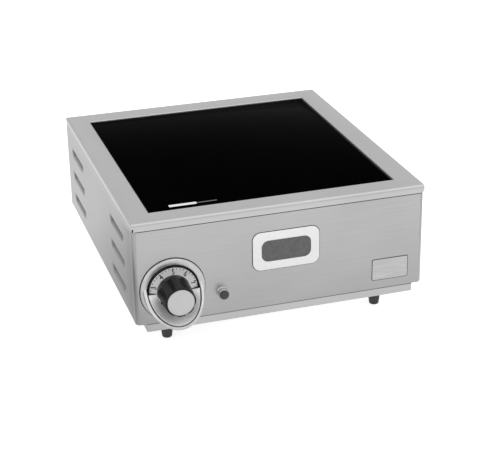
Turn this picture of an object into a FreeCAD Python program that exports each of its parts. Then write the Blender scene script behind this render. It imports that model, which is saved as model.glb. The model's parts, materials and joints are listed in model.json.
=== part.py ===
import FreeCAD, Part
import math
import operator
import os
from types import SimpleNamespace

import Sketcher

# A countertop glass-ceramic hot plate. Millimetres, +Z up, +Y to the rear.
# The origin is on the counter, under the middle of the overall box.

SIZES = {
    # case
    "case_width": 375.0,
    "case_depth": 412.0,
    "case_height": 133.5,
    "sheet_wall": 1.2,
    "corner_radius": 4.0,
    "lip_height": 10.0,
    "nose_radius": 4.0,
    "corner_slit": 1.0,
    "seam_gap": 1.2,
    "tongue_rise": 6.0,
    "tongue_lap": 8.0,
    "tongue_end": 24.0,
    "front_return": 14.0,
    "edge_gap": 0.4,
    "bottom_flange": 22.0,
    "rear_flange": 18.0,
    # glass and its recess
    "glass_width": 315.0,
    "glass_depth": 348.0,
    "glass_wall": 4.0,
    "glass_drop": 2.0,
    "bead_gap": 1.5,
    "bead_drop": 0.5,
    "bed_wall": 1.0,
    "ledge_width": 12.0,
    # bottom pan and feet
    "pan_drop": 11.0,
    "pan_inset": 13.5,
    "pan_flange": 11.0,
    "pan_lap": 12.0,
    "foot_height": 32.0,
    "foot_top_radius": 10.4,
    "foot_tip_radius": 6.3,
    "foot_side_inset": 47.5,
    "foot_end_inset": 43.0,
    # louvres in the side panels
    "louvre_length": 78.0,
    "louvre_rise": 12.0,
    "louvre_top": 31.0,
    "louvre_pitch": 34.2,
    "louvre_front": 50.0,
    "louvre_rear": 35.0,
    # radiant element
    "element_radius": 118.0,
    "element_height": 32.0,
    "dish_wall": 0.8,
    "dish_rim_drop": 3.0,
    "base_wall": 14.0,
    "ring_wall": 13.2,
    "ribbon_start": 14.0,
    "ribbon_pitch": 36.0,
    "ribbon_wall": 1.0,
    "ribbon_height": 5.0,
    "rod_radius": 2.4,
    "rod_play": 0.8,
    "rod_drop": 6.5,
    "rod_seat": 5.0,
    "head_length": 26.0,
    "head_width": 24.0,
    "head_height": 20.0,
    # rails and springs under the element
    "rail_wall": 1.5,
    "rail_width": 22.0,
    "rail_offset": 60.0,
    "rail_toe": 8.0,
    "spring_height": 9.0,
    "spring_wall": 0.8,
    "spring_reach": 14.0,
    "spring_width": 14.0,
    "spring_offset": 70.0,
    # heat shield
    "shield_setback": 80.0,
    "shield_width": 280.0,
    "shield_top": 76.0,
    "shield_hood": 45.0,
    "shield_toe": 15.0,
    "notch_x": 75.0,
    "notch_width": 20.0,
    "notch_height": 16.0,
    # control
    "knob_inset": 46.7,
    "knob_z": 43.1,
    "knob_reach": 41.0,
    "bezel_radius": 40.4,
    "bezel_tip_radius": 36.8,
    "bezel_bore": 32.2,
    "collar_height": 3.5,
    "guard_reach": 40.0,
    "guard_start": 6.0,
    "gasket_wall": 1.0,
    "skirt_radius": 30.3,
    "skirt_wall": 1.2,
    "skirt_edge": 5.6,
    "skirt_flat_radius": 22.0,
    "skirt_seat": 8.0,
    "grip_base_radius": 21.0,
    "grip_tip_radius": 19.0,
    "flute_count": 8,
    "flute_floor": 19.7,
    "cap_radius": 16.7,
    "cap_wall": 2.0,
    "cap_proud": 0.8,
    "shaft_radius": 3.175,
    "shaft_play": 0.06,
    "shaft_tip": 28.0,
    "shaft_flat": 2.4,
    "shaft_flat_length": 16.0,
    # heat switch behind the panel
    "bushing_radius": 4.75,
    "bushing_shoulder": 8.0,
    "bushing_length": 12.5,
    "bushing_tip": 5.0,
    "hole_play": 0.25,
    "nut_flats": 14.3,
    "nut_wall": 2.6,
    "plate_size": 44.0,
    "plate_wall": 1.5,
    "switch_size": 40.0,
    "switch_depth": 34.0,
    "switch_wall": 2.5,
    "switch_back": 5.0,
    "cam_radius": 12.0,
    "cam_throw": 2.0,
    "cam_wall": 8.0,
    "cam_setback": 22.0,
    "blade_gap": 1.2,
    "blade_wall": 0.8,
    "blade_width": 8.0,
    "tab_width": 6.3,
    "tab_length": 8.0,
    "tab_spread_x": 10.0,
    "tab_spread_z": 9.0,
    # pilot light
    "pilot_offset": 62.5,
    "pilot_z": 28.5,
    "pilot_radius": 6.0,
    "pilot_reach": 11.0,
    "lens_length": 3.5,
    "barrel_wall": 1.2,
    "lamp_length": 26.0,
    "clip_radius": 9.0,
    # front plates
    "badge_x": 4.5,
    "badge_z": 75.0,
    "badge_width": 86.0,
    "badge_height": 50.0,
    "badge_round": 10.0,
    "badge_wall": 1.6,
    "field_border": 11.0,
    "field_depth": 0.4,
    "label_inset": 44.5,
    "label_z": 26.3,
    "label_width": 47.5,
    "label_height": 28.0,
    "label_round": 1.5,
    "label_wall": 0.6,
    # mains connection
    "rear_reach": 3.0,
    "inlet_inset": 67.5,
    "inlet_z": 32.0,
    "inlet_flange_radius": 14.0,
    "inlet_neck_radius": 10.9,
    "inlet_bore_radius": 5.2,
    "inlet_length": 18.0,
    "locknut_flats": 30.0,
    "locknut_wall": 5.0,
    "block_offset": 25.0,
    "block_setback": 66.0,
    "block_width": 56.0,
    "block_depth": 24.0,
    "block_height": 20.0,
    "wire_radius": 1.6,
    "pilot_wire_radius": 1.3,
    "wire_bend": 8.0,
    "wire_rise": 8.8,
    # fasteners
    "screw_head_radius": 3.4,
    "screw_head_height": 2.4,
    "screw_radius": 1.9,
    "screw_length": 6.0,
    "stud_radius": 2.5,
    "stud_proud": 2.0,
    "small_screw_radius": 1.5,
    "small_screw_length": 5.0,
    "fit_play": 0.1,
}


class Size:
    """A length that carries its number and the sheet formula behind it."""

    def __init__(self, value, formula):
        self.value = value
        self.formula = formula

    def __add__(self, other):
        return merge(self, "+", other)

    def __radd__(self, other):
        return merge(other, "+", self)

    def __sub__(self, other):
        return merge(self, "-", other)

    def __rsub__(self, other):
        return merge(other, "-", self)

    def __mul__(self, other):
        return merge(self, "*", other)

    def __rmul__(self, other):
        return merge(other, "*", self)

    def __truediv__(self, other):
        return merge(self, "/", other)

    def __neg__(self):
        return merge(0, "-", self)


SIGNS = {"+": operator.add, "-": operator.sub, "*": operator.mul, "/": operator.truediv}


def as_size(number):
    if isinstance(number, Size):
        return number
    return Size(float(number), f"({float(number)})")


def merge(left, sign, right):
    left = as_size(left)
    right = as_size(right)
    return Size(SIGNS[sign](left.value, right.value), f"({left.formula} {sign} {right.formula})")


doc = FreeCAD.newDocument("hot_plate")
sheet = doc.addObject("Spreadsheet::Sheet", "Sizes")
for row, (name, number) in enumerate(SIZES.items(), start=1):
    sheet.set(f"A{row}", name)
    sheet.set(f"B{row}", str(number))
    sheet.setAlias(f"B{row}", name)
doc.recompute()
d = SimpleNamespace(**{name: Size(number, f"Sizes.{name}") for name, number in SIZES.items()})

half_width = d.case_width / 2
half_depth = d.case_depth / 2
case_y = (d.knob_reach - d.rear_reach) / 2
case_z = d.foot_height + d.pan_drop
front_y = case_y - half_depth
rear_y = case_y + half_depth
panel_height = d.case_height - d.lip_height - d.seam_gap
tongue_top = d.case_height - d.lip_height + d.tongue_rise
opening_width = d.glass_width + 2 * d.bead_gap
opening_depth = d.glass_depth + 2 * d.bead_gap
recess_depth = d.glass_drop + d.glass_wall + d.bed_wall
glass_under = d.case_height - d.glass_drop - d.glass_wall
ledge_under = d.case_height - recess_depth - d.sheet_wall
pan_floor = d.sheet_wall - d.pan_drop
knob_x = d.knob_inset - half_width
pilot_x = knob_x + d.pilot_offset
label_x = half_width - d.label_inset
inlet_x = half_width - d.inlet_inset
block_x = inlet_x - d.block_offset
louvre_columns = d.case_depth - d.louvre_front - d.louvre_rear - d.louvre_length
foot_x = half_width - d.foot_side_inset
foot_y = half_depth - d.foot_end_inset
dish_bottom = glass_under - d.element_height
base_top = dish_bottom + d.dish_wall + d.base_wall
rod_z = glass_under - d.rod_drop
rod_hole = d.rod_radius + d.rod_play
upright_x = opening_width / 2 - d.rail_toe
rail_bottom = dish_bottom - d.spring_height - d.rail_wall
shield_y = d.shield_setback - half_depth
shaft_bore = d.shaft_radius + d.shaft_play
plate_front = -d.bushing_length
switch_front = plate_front - d.plate_wall
switch_rear = switch_front - d.switch_depth
barrel_length = d.pilot_reach - d.lens_length
barrel_bore = d.pilot_radius - d.barrel_wall
lamp_radius = barrel_bore - d.fit_play
bezel_screw_x = (d.bezel_radius + d.bezel_bore) / 2
block_y = half_depth - d.block_setback

CASE = (0, case_y, case_z)
MANY_SIDES = 48
FEW_SIDES = 24
RIBBON_SIDES = 12
OUT_OF_FRONT = FreeCAD.Rotation(FreeCAD.Vector(1, 0, 0), 90)
OUT_OF_REAR = FreeCAD.Rotation(FreeCAD.Vector(1, 0, 0), -90)
UPRIGHT = FreeCAD.Rotation()

nodes = []


def bind(thing, path, size):
    thing.setExpression(path, as_size(size).formula)


def place(thing, spot, turn=UPRIGHT):
    thing.Placement = FreeCAD.Placement(FreeCAD.Vector(), turn)
    for axis, size in zip("xyz", spot):
        bind(thing, f"Placement.Base.{axis}", size)


def new_body(label, spot=CASE, turn=UPRIGHT, keep=True):
    body = doc.addObject("PartDesign::Body", label)
    body.Label = label
    place(body, spot, turn)
    if keep:
        nodes.append(body)
    return body


def origin_part(body, role):
    return next(part for part in body.Origin.OriginFeatures if part.Role == role)


def new_sketch(body, plane="XY_Plane", lift=0):
    sketch = body.newObject("Sketcher::SketchObject", "Sketch")
    sketch.AttachmentSupport = [(origin_part(body, plane), "")]
    sketch.MapMode = "FlatFace"
    bind(sketch, "AttachmentOffset.Base.z", lift)
    return sketch


def pin(sketch, geometry, vertex, x, y):
    """Fix one point of a sketch at x, y measured from the sketch's origin."""
    for kind, axis, size in (("DistanceX", -2, as_size(x)), ("DistanceY", -1, as_size(y))):
        if size.value == 0:
            sketch.addConstraint(Sketcher.Constraint("PointOnObject", geometry, vertex, axis))
        else:
            index = sketch.addConstraint(Sketcher.Constraint(kind, -1, 1, geometry, vertex, size.value))
            bind(sketch, f"Constraints[{index}]", size)


def polygon(sketch, corners):
    spots = [FreeCAD.Vector(as_size(x).value, as_size(y).value, 0) for x, y in corners]
    count = len(spots)
    first = sketch.GeometryCount
    for index in range(count):
        sketch.addGeometry(Part.LineSegment(spots[index], spots[(index + 1) % count]), False)
    for index in range(count):
        follower = first + (index + 1) % count
        sketch.addConstraint(Sketcher.Constraint("Coincident", first + index, 2, follower, 1))
        pin(sketch, first + index, 1, *corners[index])
    return sketch


def rectangle(sketch, x0, y0, x1, y1):
    return polygon(sketch, [(x0, y0), (x1, y0), (x1, y1), (x0, y1)])


def circle(sketch, x, y, radius):
    centre = FreeCAD.Vector(as_size(x).value, as_size(y).value, 0)
    normal = FreeCAD.Vector(0, 0, 1)
    index = sketch.addGeometry(Part.Circle(centre, normal, as_size(radius).value), False)
    pin(sketch, index, 3, x, y)
    rule = sketch.addConstraint(Sketcher.Constraint("Radius", index, as_size(radius).value))
    bind(sketch, f"Constraints[{rule}]", radius)
    return sketch


def ring(sketch, reach, sides, x=0, y=0):
    """A regular outline whose corners are at one reach from a point of the sketch."""
    turns = [2 * math.pi * step / sides for step in range(sides)]
    ways = [(round(math.cos(turn), 9), round(math.sin(turn), 9)) for turn in turns]
    return polygon(sketch, [(x + reach * across, y + reach * up) for across, up in ways])


def hexagon(sketch, reach, x=0, y=0):
    return ring(sketch, reach, 6, x, y)


def pad(body, sketch, length, backwards=False, both_ways=False):
    feature = body.newObject("PartDesign::Pad", "Pad")
    feature.Profile = sketch
    bind(feature, "Length", length)
    feature.Reversed = backwards
    if both_ways:
        feature.SideType = "Symmetric"
    return feature


def pocket(body, sketch, length=None, backwards=False):
    """Cut a sketch: to a length along one side, or right through both ways."""
    feature = body.newObject("PartDesign::Pocket", "Pocket")
    feature.Profile = sketch
    feature.Reversed = backwards
    if length is None:
        feature.Type = "ThroughAll"
        feature.SideType = "Symmetric"
    else:
        bind(feature, "Length", length)
    return feature


def box(body, low, high):
    """Add a block between two corners."""
    sketch = rectangle(new_sketch(body, lift=low[2]), low[0], low[1], high[0], high[1])
    return pad(body, sketch, as_size(high[2]) - low[2])


def round_edges(body, radius, wanted):
    """Fillet the edges of the body so far that the test picks out."""
    doc.recompute()
    base = body.Tip
    names = [f"Edge{index}" for index, edge in enumerate(base.Shape.Edges, 1) if wanted(edge)]
    feature = body.newObject("PartDesign::Fillet", "Fillet")
    feature.Base = (base, names)
    bind(feature, "Radius", radius)
    return feature


def lean_sides(body, run, rise, outwards=False):
    """Draft the standing faces of the body so far, from its lowest face, by a run over a rise."""
    doc.recompute()
    base = body.Tip
    faces = list(enumerate(base.Shape.Faces, 1))
    lowest = min(faces, key=lambda item: item[1].CenterOfMass.z)[0]
    feature = body.newObject("PartDesign::Draft", "Draft")
    feature.Base = (base, [f"Face{index}" for index, face in faces if abs(face.normalAt(0, 0).z) < 0.5])
    feature.NeutralPlane = (base, [f"Face{lowest}"])
    feature.Reversed = outwards
    angle = math.degrees(math.atan2(run.value, rise.value))
    bind(feature, "Angle", Size(angle, f"atan({run.formula} / {rise.formula})"))
    return feature


def near(number, size):
    return abs(number - as_size(size).value) < 1e-4


def flat_at(edge, axis, size):
    """True for an edge that lies wholly at one coordinate of an axis."""
    box_of = edge.BoundBox
    low = getattr(box_of, f"{axis}Min")
    high = getattr(box_of, f"{axis}Max")
    return near(low, size) and near(high, size)


def upright_edge(edge):
    return edge.BoundBox.ZLength > 0 and edge.BoundBox.XLength < 1e-4 and edge.BoundBox.YLength < 1e-4


def group(label, template, places):
    """One node of separate solids: copies of a template at spots and turns."""
    doc.recompute()
    copies = []
    for spot, turn in places:
        base = FreeCAD.Vector(*[as_size(size).value for size in spot])
        copy = template.Tip.Shape.copy()
        copy.Placement = FreeCAD.Placement(base, turn).multiply(copy.Placement)
        copies.append(copy)
    feature = doc.addObject("Part::Feature", label)
    feature.Label = label
    feature.Shape = Part.makeCompound(copies)
    nodes.append(feature)
    return feature


def screw_template(label, radius, length):
    """A hex-head screw: its head on top of Z = 0, its thread a plain six-sided shank below."""
    body = new_body(label, (0, 0, 0), keep=False)
    pad(body, hexagon(new_sketch(body), radius), length, backwards=True)
    pad(body, hexagon(new_sketch(body), d.screw_head_radius), d.screw_head_height)
    return body


def in_case(x, y, z):
    """A spot given from the middle of the case's bottom edge, in the part's frame."""
    return (as_size(x), y + case_y, z + case_z)


def make_top_frame():
    body = new_body("top_frame", (0, case_y, case_z + d.case_height - d.lip_height))
    wall = d.sheet_wall
    box(body, (-half_width, -half_depth, 0), (half_width, half_depth, d.lip_height))
    round_edges(body, d.nose_radius, lambda edge: flat_at(edge, "Z", d.lip_height))
    inner_x = half_width - wall
    inner_y = half_depth - wall
    pocket(body, rectangle(new_sketch(body), -inner_x, -inner_y, inner_x, inner_y), d.lip_height - wall,
           backwards=True)
    ceiling = d.lip_height - wall
    round_edges(body, d.nose_radius - wall, lambda edge: flat_at(edge, "Z", ceiling))
    tray_x = opening_width / 2
    tray_y = opening_depth / 2
    box(body, (-tray_x - wall, -tray_y - wall, d.lip_height - recess_depth - wall),
        (tray_x + wall, tray_y + wall, d.lip_height - wall / 2))
    recess = rectangle(new_sketch(body, lift=d.lip_height), -tray_x, -tray_y, tray_x, tray_y)
    pocket(body, recess, recess_depth)
    ledge = d.ledge_width
    pocket(body, rectangle(new_sketch(body), ledge - tray_x, ledge - tray_y, tray_x - ledge, tray_y - ledge))
    slits = new_sketch(body)
    for side in (-1, 1):
        for end in (-1, 1):
            circle(slits, side * (half_width - wall / 2), end * (half_depth - wall / 2), d.corner_slit)
    pocket(body, slits, d.lip_height - d.nose_radius, backwards=True)


def make_front_panel():
    body = new_body("front_panel")
    wall = d.sheet_wall
    back_y = d.front_return - half_depth
    box(body, (-half_width, -half_depth, 0), (half_width, back_y, panel_height))
    round_edges(body, d.corner_radius, lambda edge: flat_at(edge, "Y", -half_depth) and upright_edge(edge))
    inside = rectangle(new_sketch(body, lift=panel_height), wall - half_width, wall - half_depth,
                       half_width - wall, back_y + wall)
    pocket(body, inside, panel_height - wall)
    inner_y = wall - half_depth
    round_edges(body, d.corner_radius - wall, lambda edge: flat_at(edge, "Y", inner_y) and upright_edge(edge))
    gap_x = half_width - d.pan_inset + d.edge_gap
    pocket(body, rectangle(new_sketch(body), -gap_x, inner_y, gap_x, back_y + wall), wall, backwards=True)
    tongue_x = half_width - d.tongue_end
    box(body, (-tongue_x, inner_y, panel_height - d.tongue_lap), (tongue_x, inner_y + wall, tongue_top))
    holes = new_sketch(body, "XZ_Plane")
    circle(holes, knob_x, d.knob_z, d.bushing_radius + d.hole_play)
    circle(holes, pilot_x, d.pilot_z, lamp_radius + d.hole_play)
    for side in (-1, 1):
        hexagon(holes, d.small_screw_radius + d.hole_play, knob_x + side * bezel_screw_x, d.knob_z)
    pocket(body, holes)


def louvre_arc(sketch, radius):
    """A quarter circle from below the louvre's top line to the inside of it."""
    middle = FreeCAD.Vector(-half_width.value, d.louvre_top.value, 0)
    bend = Part.Circle(middle, FreeCAD.Vector(0, 0, 1), radius.value)
    arc = sketch.addGeometry(Part.ArcOfCircle(bend, 1.5 * math.pi, 2 * math.pi), False)
    pin(sketch, arc, 3, -half_width, d.louvre_top)
    rule = sketch.addConstraint(Sketcher.Constraint("Radius", arc, radius.value))
    bind(sketch, f"Constraints[{rule}]", radius)
    sketch.addConstraint(Sketcher.Constraint("Vertical", arc, 3, arc, 1))
    sketch.addConstraint(Sketcher.Constraint("Horizontal", arc, 3, arc, 2))
    return arc


def join(sketch, first, first_vertex, second, second_vertex):
    """A line between two points of a sketch."""
    ends = sketch.getPoint(first, first_vertex), sketch.getPoint(second, second_vertex)
    line = sketch.addGeometry(Part.LineSegment(*ends), False)
    sketch.addConstraint(Sketcher.Constraint("Coincident", line, 1, first, first_vertex))
    sketch.addConstraint(Sketcher.Constraint("Coincident", line, 2, second, second_vertex))


def louvre_blade(sketch):
    """The section of the scoop: a quarter ring of sheet."""
    inner = louvre_arc(sketch, d.louvre_rise)
    outer = louvre_arc(sketch, d.louvre_rise + d.sheet_wall)
    join(sketch, inner, 1, outer, 1)
    join(sketch, inner, 2, outer, 2)
    return sketch


def louvre_end(sketch):
    """The closed end of the scoop: a quarter disc."""
    arc = louvre_arc(sketch, d.louvre_rise + d.sheet_wall)
    join(sketch, arc, 1, arc, 3)
    join(sketch, arc, 3, arc, 2)
    return sketch


def press_louvres(body):
    """Six scoops pressed inwards, hinged at their lower edge and open at the top."""
    wall = d.sheet_wall
    first = d.louvre_front - half_depth
    last = first + d.louvre_length
    sill = d.louvre_top - d.louvre_rise
    face = new_sketch(body, "YZ_Plane", lift=-half_width)
    slot = rectangle(face, first + wall, sill, last - wall, d.louvre_top)
    blade = louvre_blade(new_sketch(body, "XZ_Plane", lift=-first))
    features = [pocket(body, slot, wall, backwards=True), pad(body, blade, d.louvre_length, backwards=True)]
    for spot in (first, last - wall):
        end = louvre_end(new_sketch(body, "XZ_Plane", lift=-spot))
        features.append(pad(body, end, wall, backwards=True))
    pattern = body.newObject("PartDesign::LinearPattern", "LinearPattern")
    pattern.Originals = features
    pattern.Direction = (origin_part(body, "Z_Axis"), [""])
    pattern.Occurrences = 3
    bind(pattern, "Length", 2 * d.louvre_pitch)
    pattern.Direction2 = (origin_part(body, "Y_Axis"), [""])
    pattern.Occurrences2 = 2
    bind(pattern, "Length2", louvre_columns)
    body.Tip = pattern


def make_side_panels():
    body = new_body("left_side_panel")
    wall = d.sheet_wall
    front = d.front_return - half_depth
    rear = half_depth - wall
    inner = wall - half_width
    box(body, (-half_width, front + d.edge_gap, 0), (inner, rear, panel_height))
    box(body, (-half_width, front + d.edge_gap, 0), (d.bottom_flange - half_width, rear, wall))
    box(body, (-half_width, rear - wall, 0), (d.rear_flange - half_width, rear, panel_height))
    box(body, (inner, front + d.tongue_lap, panel_height - d.tongue_lap),
        (inner + wall, rear - d.tongue_end, tongue_top))
    box(body, (inner, front - d.tongue_lap, d.tongue_lap),
        (inner + wall, front + d.tongue_lap, panel_height - 2 * d.tongue_lap))
    press_louvres(body)
    rear_holes = new_sketch(body, "XZ_Plane", lift=-rear)
    for x, z in rear_screw_spots():
        if x.value < 0:
            hexagon(rear_holes, d.screw_radius + d.hole_play, x, z)
    pocket(body, rear_holes, wall, backwards=True)
    mirrored = doc.addObject("Part::Mirroring", "right_side_panel")
    mirrored.Label = "right_side_panel"
    mirrored.Source = body
    mirrored.Normal = FreeCAD.Vector(1, 0, 0)
    nodes.append(mirrored)


def make_rear_panel():
    body = new_body("rear_panel")
    wall = d.sheet_wall
    inner = half_depth - wall
    box(body, (-half_width, inner, 0), (half_width, half_depth, panel_height))
    tongue_x = half_width - d.tongue_end
    box(body, (-tongue_x, inner - wall, panel_height - d.tongue_lap), (tongue_x, inner, tongue_top))
    flange_x = half_width - d.bottom_flange - d.edge_gap
    box(body, (-flange_x, half_depth - d.bottom_flange, 0), (flange_x, half_depth, wall))
    holes = new_sketch(body, "XZ_Plane")
    circle(holes, inlet_x, d.inlet_z, d.inlet_neck_radius + d.hole_play)
    for x, z in rear_screw_spots():
        hexagon(holes, d.screw_radius + d.hole_play, x, z)
    pocket(body, holes)


def rear_screw_spots():
    screw_x = half_width - d.rear_flange / 2
    heights = (d.bottom_flange, panel_height - d.bottom_flange)
    return [(side * screw_x, z) for side in (-1, 1) for z in heights]


def make_bottom_pan():
    body = new_body("bottom_pan")
    wall = d.sheet_wall
    pan_x = half_width - d.pan_inset
    pan_front = wall - half_depth
    pan_rear = half_depth - d.pan_inset
    box(body, (-pan_x, pan_front, -d.pan_drop), (pan_x, pan_rear, 0))
    inside = rectangle(new_sketch(body), wall - pan_x, pan_front + wall, pan_x - wall, pan_rear - wall)
    pocket(body, inside, d.pan_drop - wall)
    box(body, (-pan_x, pan_front, -wall), (pan_x, pan_front + wall, d.pan_lap))
    flange_front = d.front_return - half_depth + d.tongue_lap
    for side in (-1, 1):
        near_x = side * (pan_x - wall)
        far_x = side * (pan_x + d.pan_flange)
        low_x, high_x = (near_x, far_x) if side > 0 else (far_x, near_x)
        box(body, (low_x, flange_front, -wall), (high_x, pan_rear, 0))
    box(body, (-pan_x, pan_rear - wall, -wall), (pan_x, pan_rear + d.pan_flange, 0))
    holes = new_sketch(body)
    for x, y in foot_spots():
        hexagon(holes, d.stud_radius + d.hole_play, x, y)
    pocket(body, holes)


def foot_spots():
    return [(side * foot_x, end * foot_y) for end in (-1, 1) for side in (-1, 1)]


def make_feet():
    names = ("foot_front_left", "foot_front_right", "foot_rear_left", "foot_rear_right")
    top = d.foot_height
    for label, (x, y) in zip(names, foot_spots()):
        body = new_body(label, (x, y + case_y, 0))
        pad(body, ring(new_sketch(body), d.foot_tip_radius, FEW_SIDES), top)
        lean_sides(body, d.foot_top_radius - d.foot_tip_radius, top, outwards=True)
    stud = new_body("foot_stud", (0, 0, 0), keep=False)
    pad(stud, hexagon(new_sketch(stud), d.stud_radius), d.sheet_wall + d.nut_wall + d.stud_proud)
    group("foot_studs", stud, [(in_case(x, y, -d.pan_drop), UPRIGHT) for x, y in foot_spots()])
    nut = new_body("foot_nut", (0, 0, 0), keep=False)
    outline = hexagon(new_sketch(nut), d.screw_head_radius + d.stud_radius / 2)
    pad(nut, hexagon(outline, d.stud_radius + d.fit_play), d.nut_wall)
    group("foot_nuts", nut, [(in_case(x, y, pan_floor), UPRIGHT) for x, y in foot_spots()])


def make_rear_screws():
    screw = screw_template("case_screw", d.screw_radius, d.screw_length)
    group("rear_screws", screw, [(in_case(x, half_depth, z), OUT_OF_REAR) for x, z in rear_screw_spots()])


def make_glass():
    glass_x = d.glass_width / 2
    glass_y = d.glass_depth / 2
    plate = new_body("glass_plate", (0, case_y, case_z + glass_under))
    box(plate, (-glass_x, -glass_y, 0), (glass_x, glass_y, d.glass_wall))
    gasket = new_body("glass_gasket", (0, case_y, case_z + glass_under - d.bed_wall))
    box(gasket, (-opening_width / 2, -opening_depth / 2, 0),
        (opening_width / 2, opening_depth / 2, d.bed_wall + d.glass_wall - d.bead_drop))
    pocket(gasket, rectangle(new_sketch(gasket, lift=d.bed_wall), -glass_x, -glass_y, glass_x, glass_y),
           d.glass_wall, backwards=True)
    bed_x = opening_width / 2 - d.ledge_width
    bed_y = opening_depth / 2 - d.ledge_width
    pocket(gasket, rectangle(new_sketch(gasket), -bed_x, -bed_y, bed_x, bed_y))


def make_element():
    wall = d.dish_wall
    radius = d.element_radius
    dish = new_body("element_dish", (0, case_y, case_z + dish_bottom))
    rim = d.element_height - d.dish_rim_drop
    fill = radius - wall
    pad(dish, ring(new_sketch(dish), radius, MANY_SIDES), rim)
    pocket(dish, ring(new_sketch(dish, lift=rim), fill, MANY_SIDES), rim - wall)
    rod_low = rod_z - dish_bottom - rod_hole
    notch = rectangle(new_sketch(dish, "YZ_Plane"), -rod_hole, rod_low, rod_hole, rim)
    pocket(dish, notch, radius + wall, backwards=True)

    base = new_body("insulation_base", (0, case_y, case_z + dish_bottom + wall))
    pad(base, ring(new_sketch(base), fill, MANY_SIDES), d.base_wall)
    side = new_body("insulation_wall", (0, case_y, case_z + base_top))
    top = glass_under - base_top
    outline = ring(new_sketch(side), fill, MANY_SIDES)
    pad(side, ring(outline, fill - d.ring_wall, MANY_SIDES), top)
    rod_low = rod_z - base_top - rod_hole
    pocket(side, rectangle(new_sketch(side, "YZ_Plane"), -rod_hole, rod_low, rod_hole, top))

    rod = new_body("limiter_rod", (0, case_y, case_z + rod_z))
    reach = radius + d.rod_seat
    rod_end = wall + d.ring_wall / 2 - radius
    pad(rod, circle(new_sketch(rod, "YZ_Plane", lift=rod_end), 0, 0, d.rod_radius), reach - rod_end)
    head = new_body("limiter_head", (0, case_y, case_z + rod_z))
    half = d.head_width / 2
    low = -d.head_height / 2
    box(head, (radius, -half, low), (radius + d.head_length, half, low + d.head_height - d.rod_seat))
    seat = circle(new_sketch(head, "YZ_Plane", lift=radius), 0, 0, d.rod_radius + d.fit_play)
    pocket(head, seat, d.rod_seat, backwards=True)


def make_heating_ribbon():
    """A flat ribbon on edge, wound as half circles about two centres half a pitch apart."""
    step = d.ribbon_pitch.value / 2
    half = d.ribbon_wall.value / 2
    clear = d.element_radius.value - d.dish_wall.value - d.ring_wall.value - d.ribbon_pitch.value / 2
    turns = int((clear - d.ribbon_start.value) / step)

    def edge_line(offset):
        points = []
        for index in range(turns):
            radius = d.ribbon_start.value + index * step + offset
            middle = step * (index % 2)
            for part in range(RIBBON_SIDES + (index == turns - 1)):
                turn = math.pi * (index + part / RIBBON_SIDES)
                points.append(FreeCAD.Vector(middle + radius * math.cos(turn), radius * math.sin(turn), 0))
        return points

    corners = edge_line(-half) + edge_line(half)[::-1]
    outline = Part.makePolygon(corners + corners[:1])
    feature = doc.addObject("Part::Feature", "heating_ribbon")
    feature.Label = "heating_ribbon"
    feature.Shape = Part.Face(outline).extrude(FreeCAD.Vector(0, 0, d.ribbon_height.value))
    place(feature, in_case(0, 0, base_top))
    nodes.append(feature)


def make_rails():
    wall = d.rail_wall
    x = upright_x
    toe = x + d.rail_toe
    low = rail_bottom
    top = ledge_under
    outline = [(-toe, top), (wall - x, top), (wall - x, low + wall), (x - wall, low + wall), (x - wall, top),
               (toe, top), (toe, top - wall), (x, top - wall), (x, low), (-x, low), (-x, top - wall),
               (-toe, top - wall)]
    for label, y in (("element_rail_front", -d.rail_offset), ("element_rail_rear", d.rail_offset)):
        body = new_body(label, (0, case_y + y, case_z))
        pad(body, polygon(new_sketch(body, "XZ_Plane"), outline), d.rail_width, both_ways=True)

    spring = new_body("spring", (0, 0, 0), keep=False)
    reach = d.spring_reach
    height = d.spring_height
    leaf = d.spring_wall
    section = [(-reach, 0), (0, 0), (2 * leaf, height - leaf), (reach, height - leaf), (reach, height),
               (leaf, height), (-leaf, leaf), (-reach, leaf)]
    pad(spring, polygon(new_sketch(spring, "XZ_Plane"), section), d.spring_width, both_ways=True)
    spots = [(side * d.spring_offset, end * d.rail_offset) for side in (-1, 1) for end in (-1, 1)]
    group("element_springs", spring, [(in_case(px, py, rail_bottom + wall), UPRIGHT) for px, py in spots])


def make_heat_shield():
    body = new_body("heat_shield")
    wall = d.sheet_wall
    y = shield_y
    outline = [(y, pan_floor), (y + d.shield_toe, pan_floor), (y + d.shield_toe, pan_floor + wall),
               (y + wall, pan_floor + wall), (y + wall, d.shield_top), (y - d.shield_hood, d.shield_top),
               (y - d.shield_hood, d.shield_top - wall), (y, d.shield_top - wall)]
    pad(body, polygon(new_sketch(body, "YZ_Plane"), outline), d.shield_width, both_ways=True)
    notch = rectangle(new_sketch(body, "XZ_Plane"), d.notch_x - d.notch_width / 2, pan_floor - wall,
                      d.notch_x + d.notch_width / 2, pan_floor + d.notch_height)
    pocket(body, notch)


def control_body(label):
    """A body whose Z runs out of the front panel along the knob's axis."""
    return new_body(label, (knob_x, front_y, case_z + d.knob_z), OUT_OF_FRONT)


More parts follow.
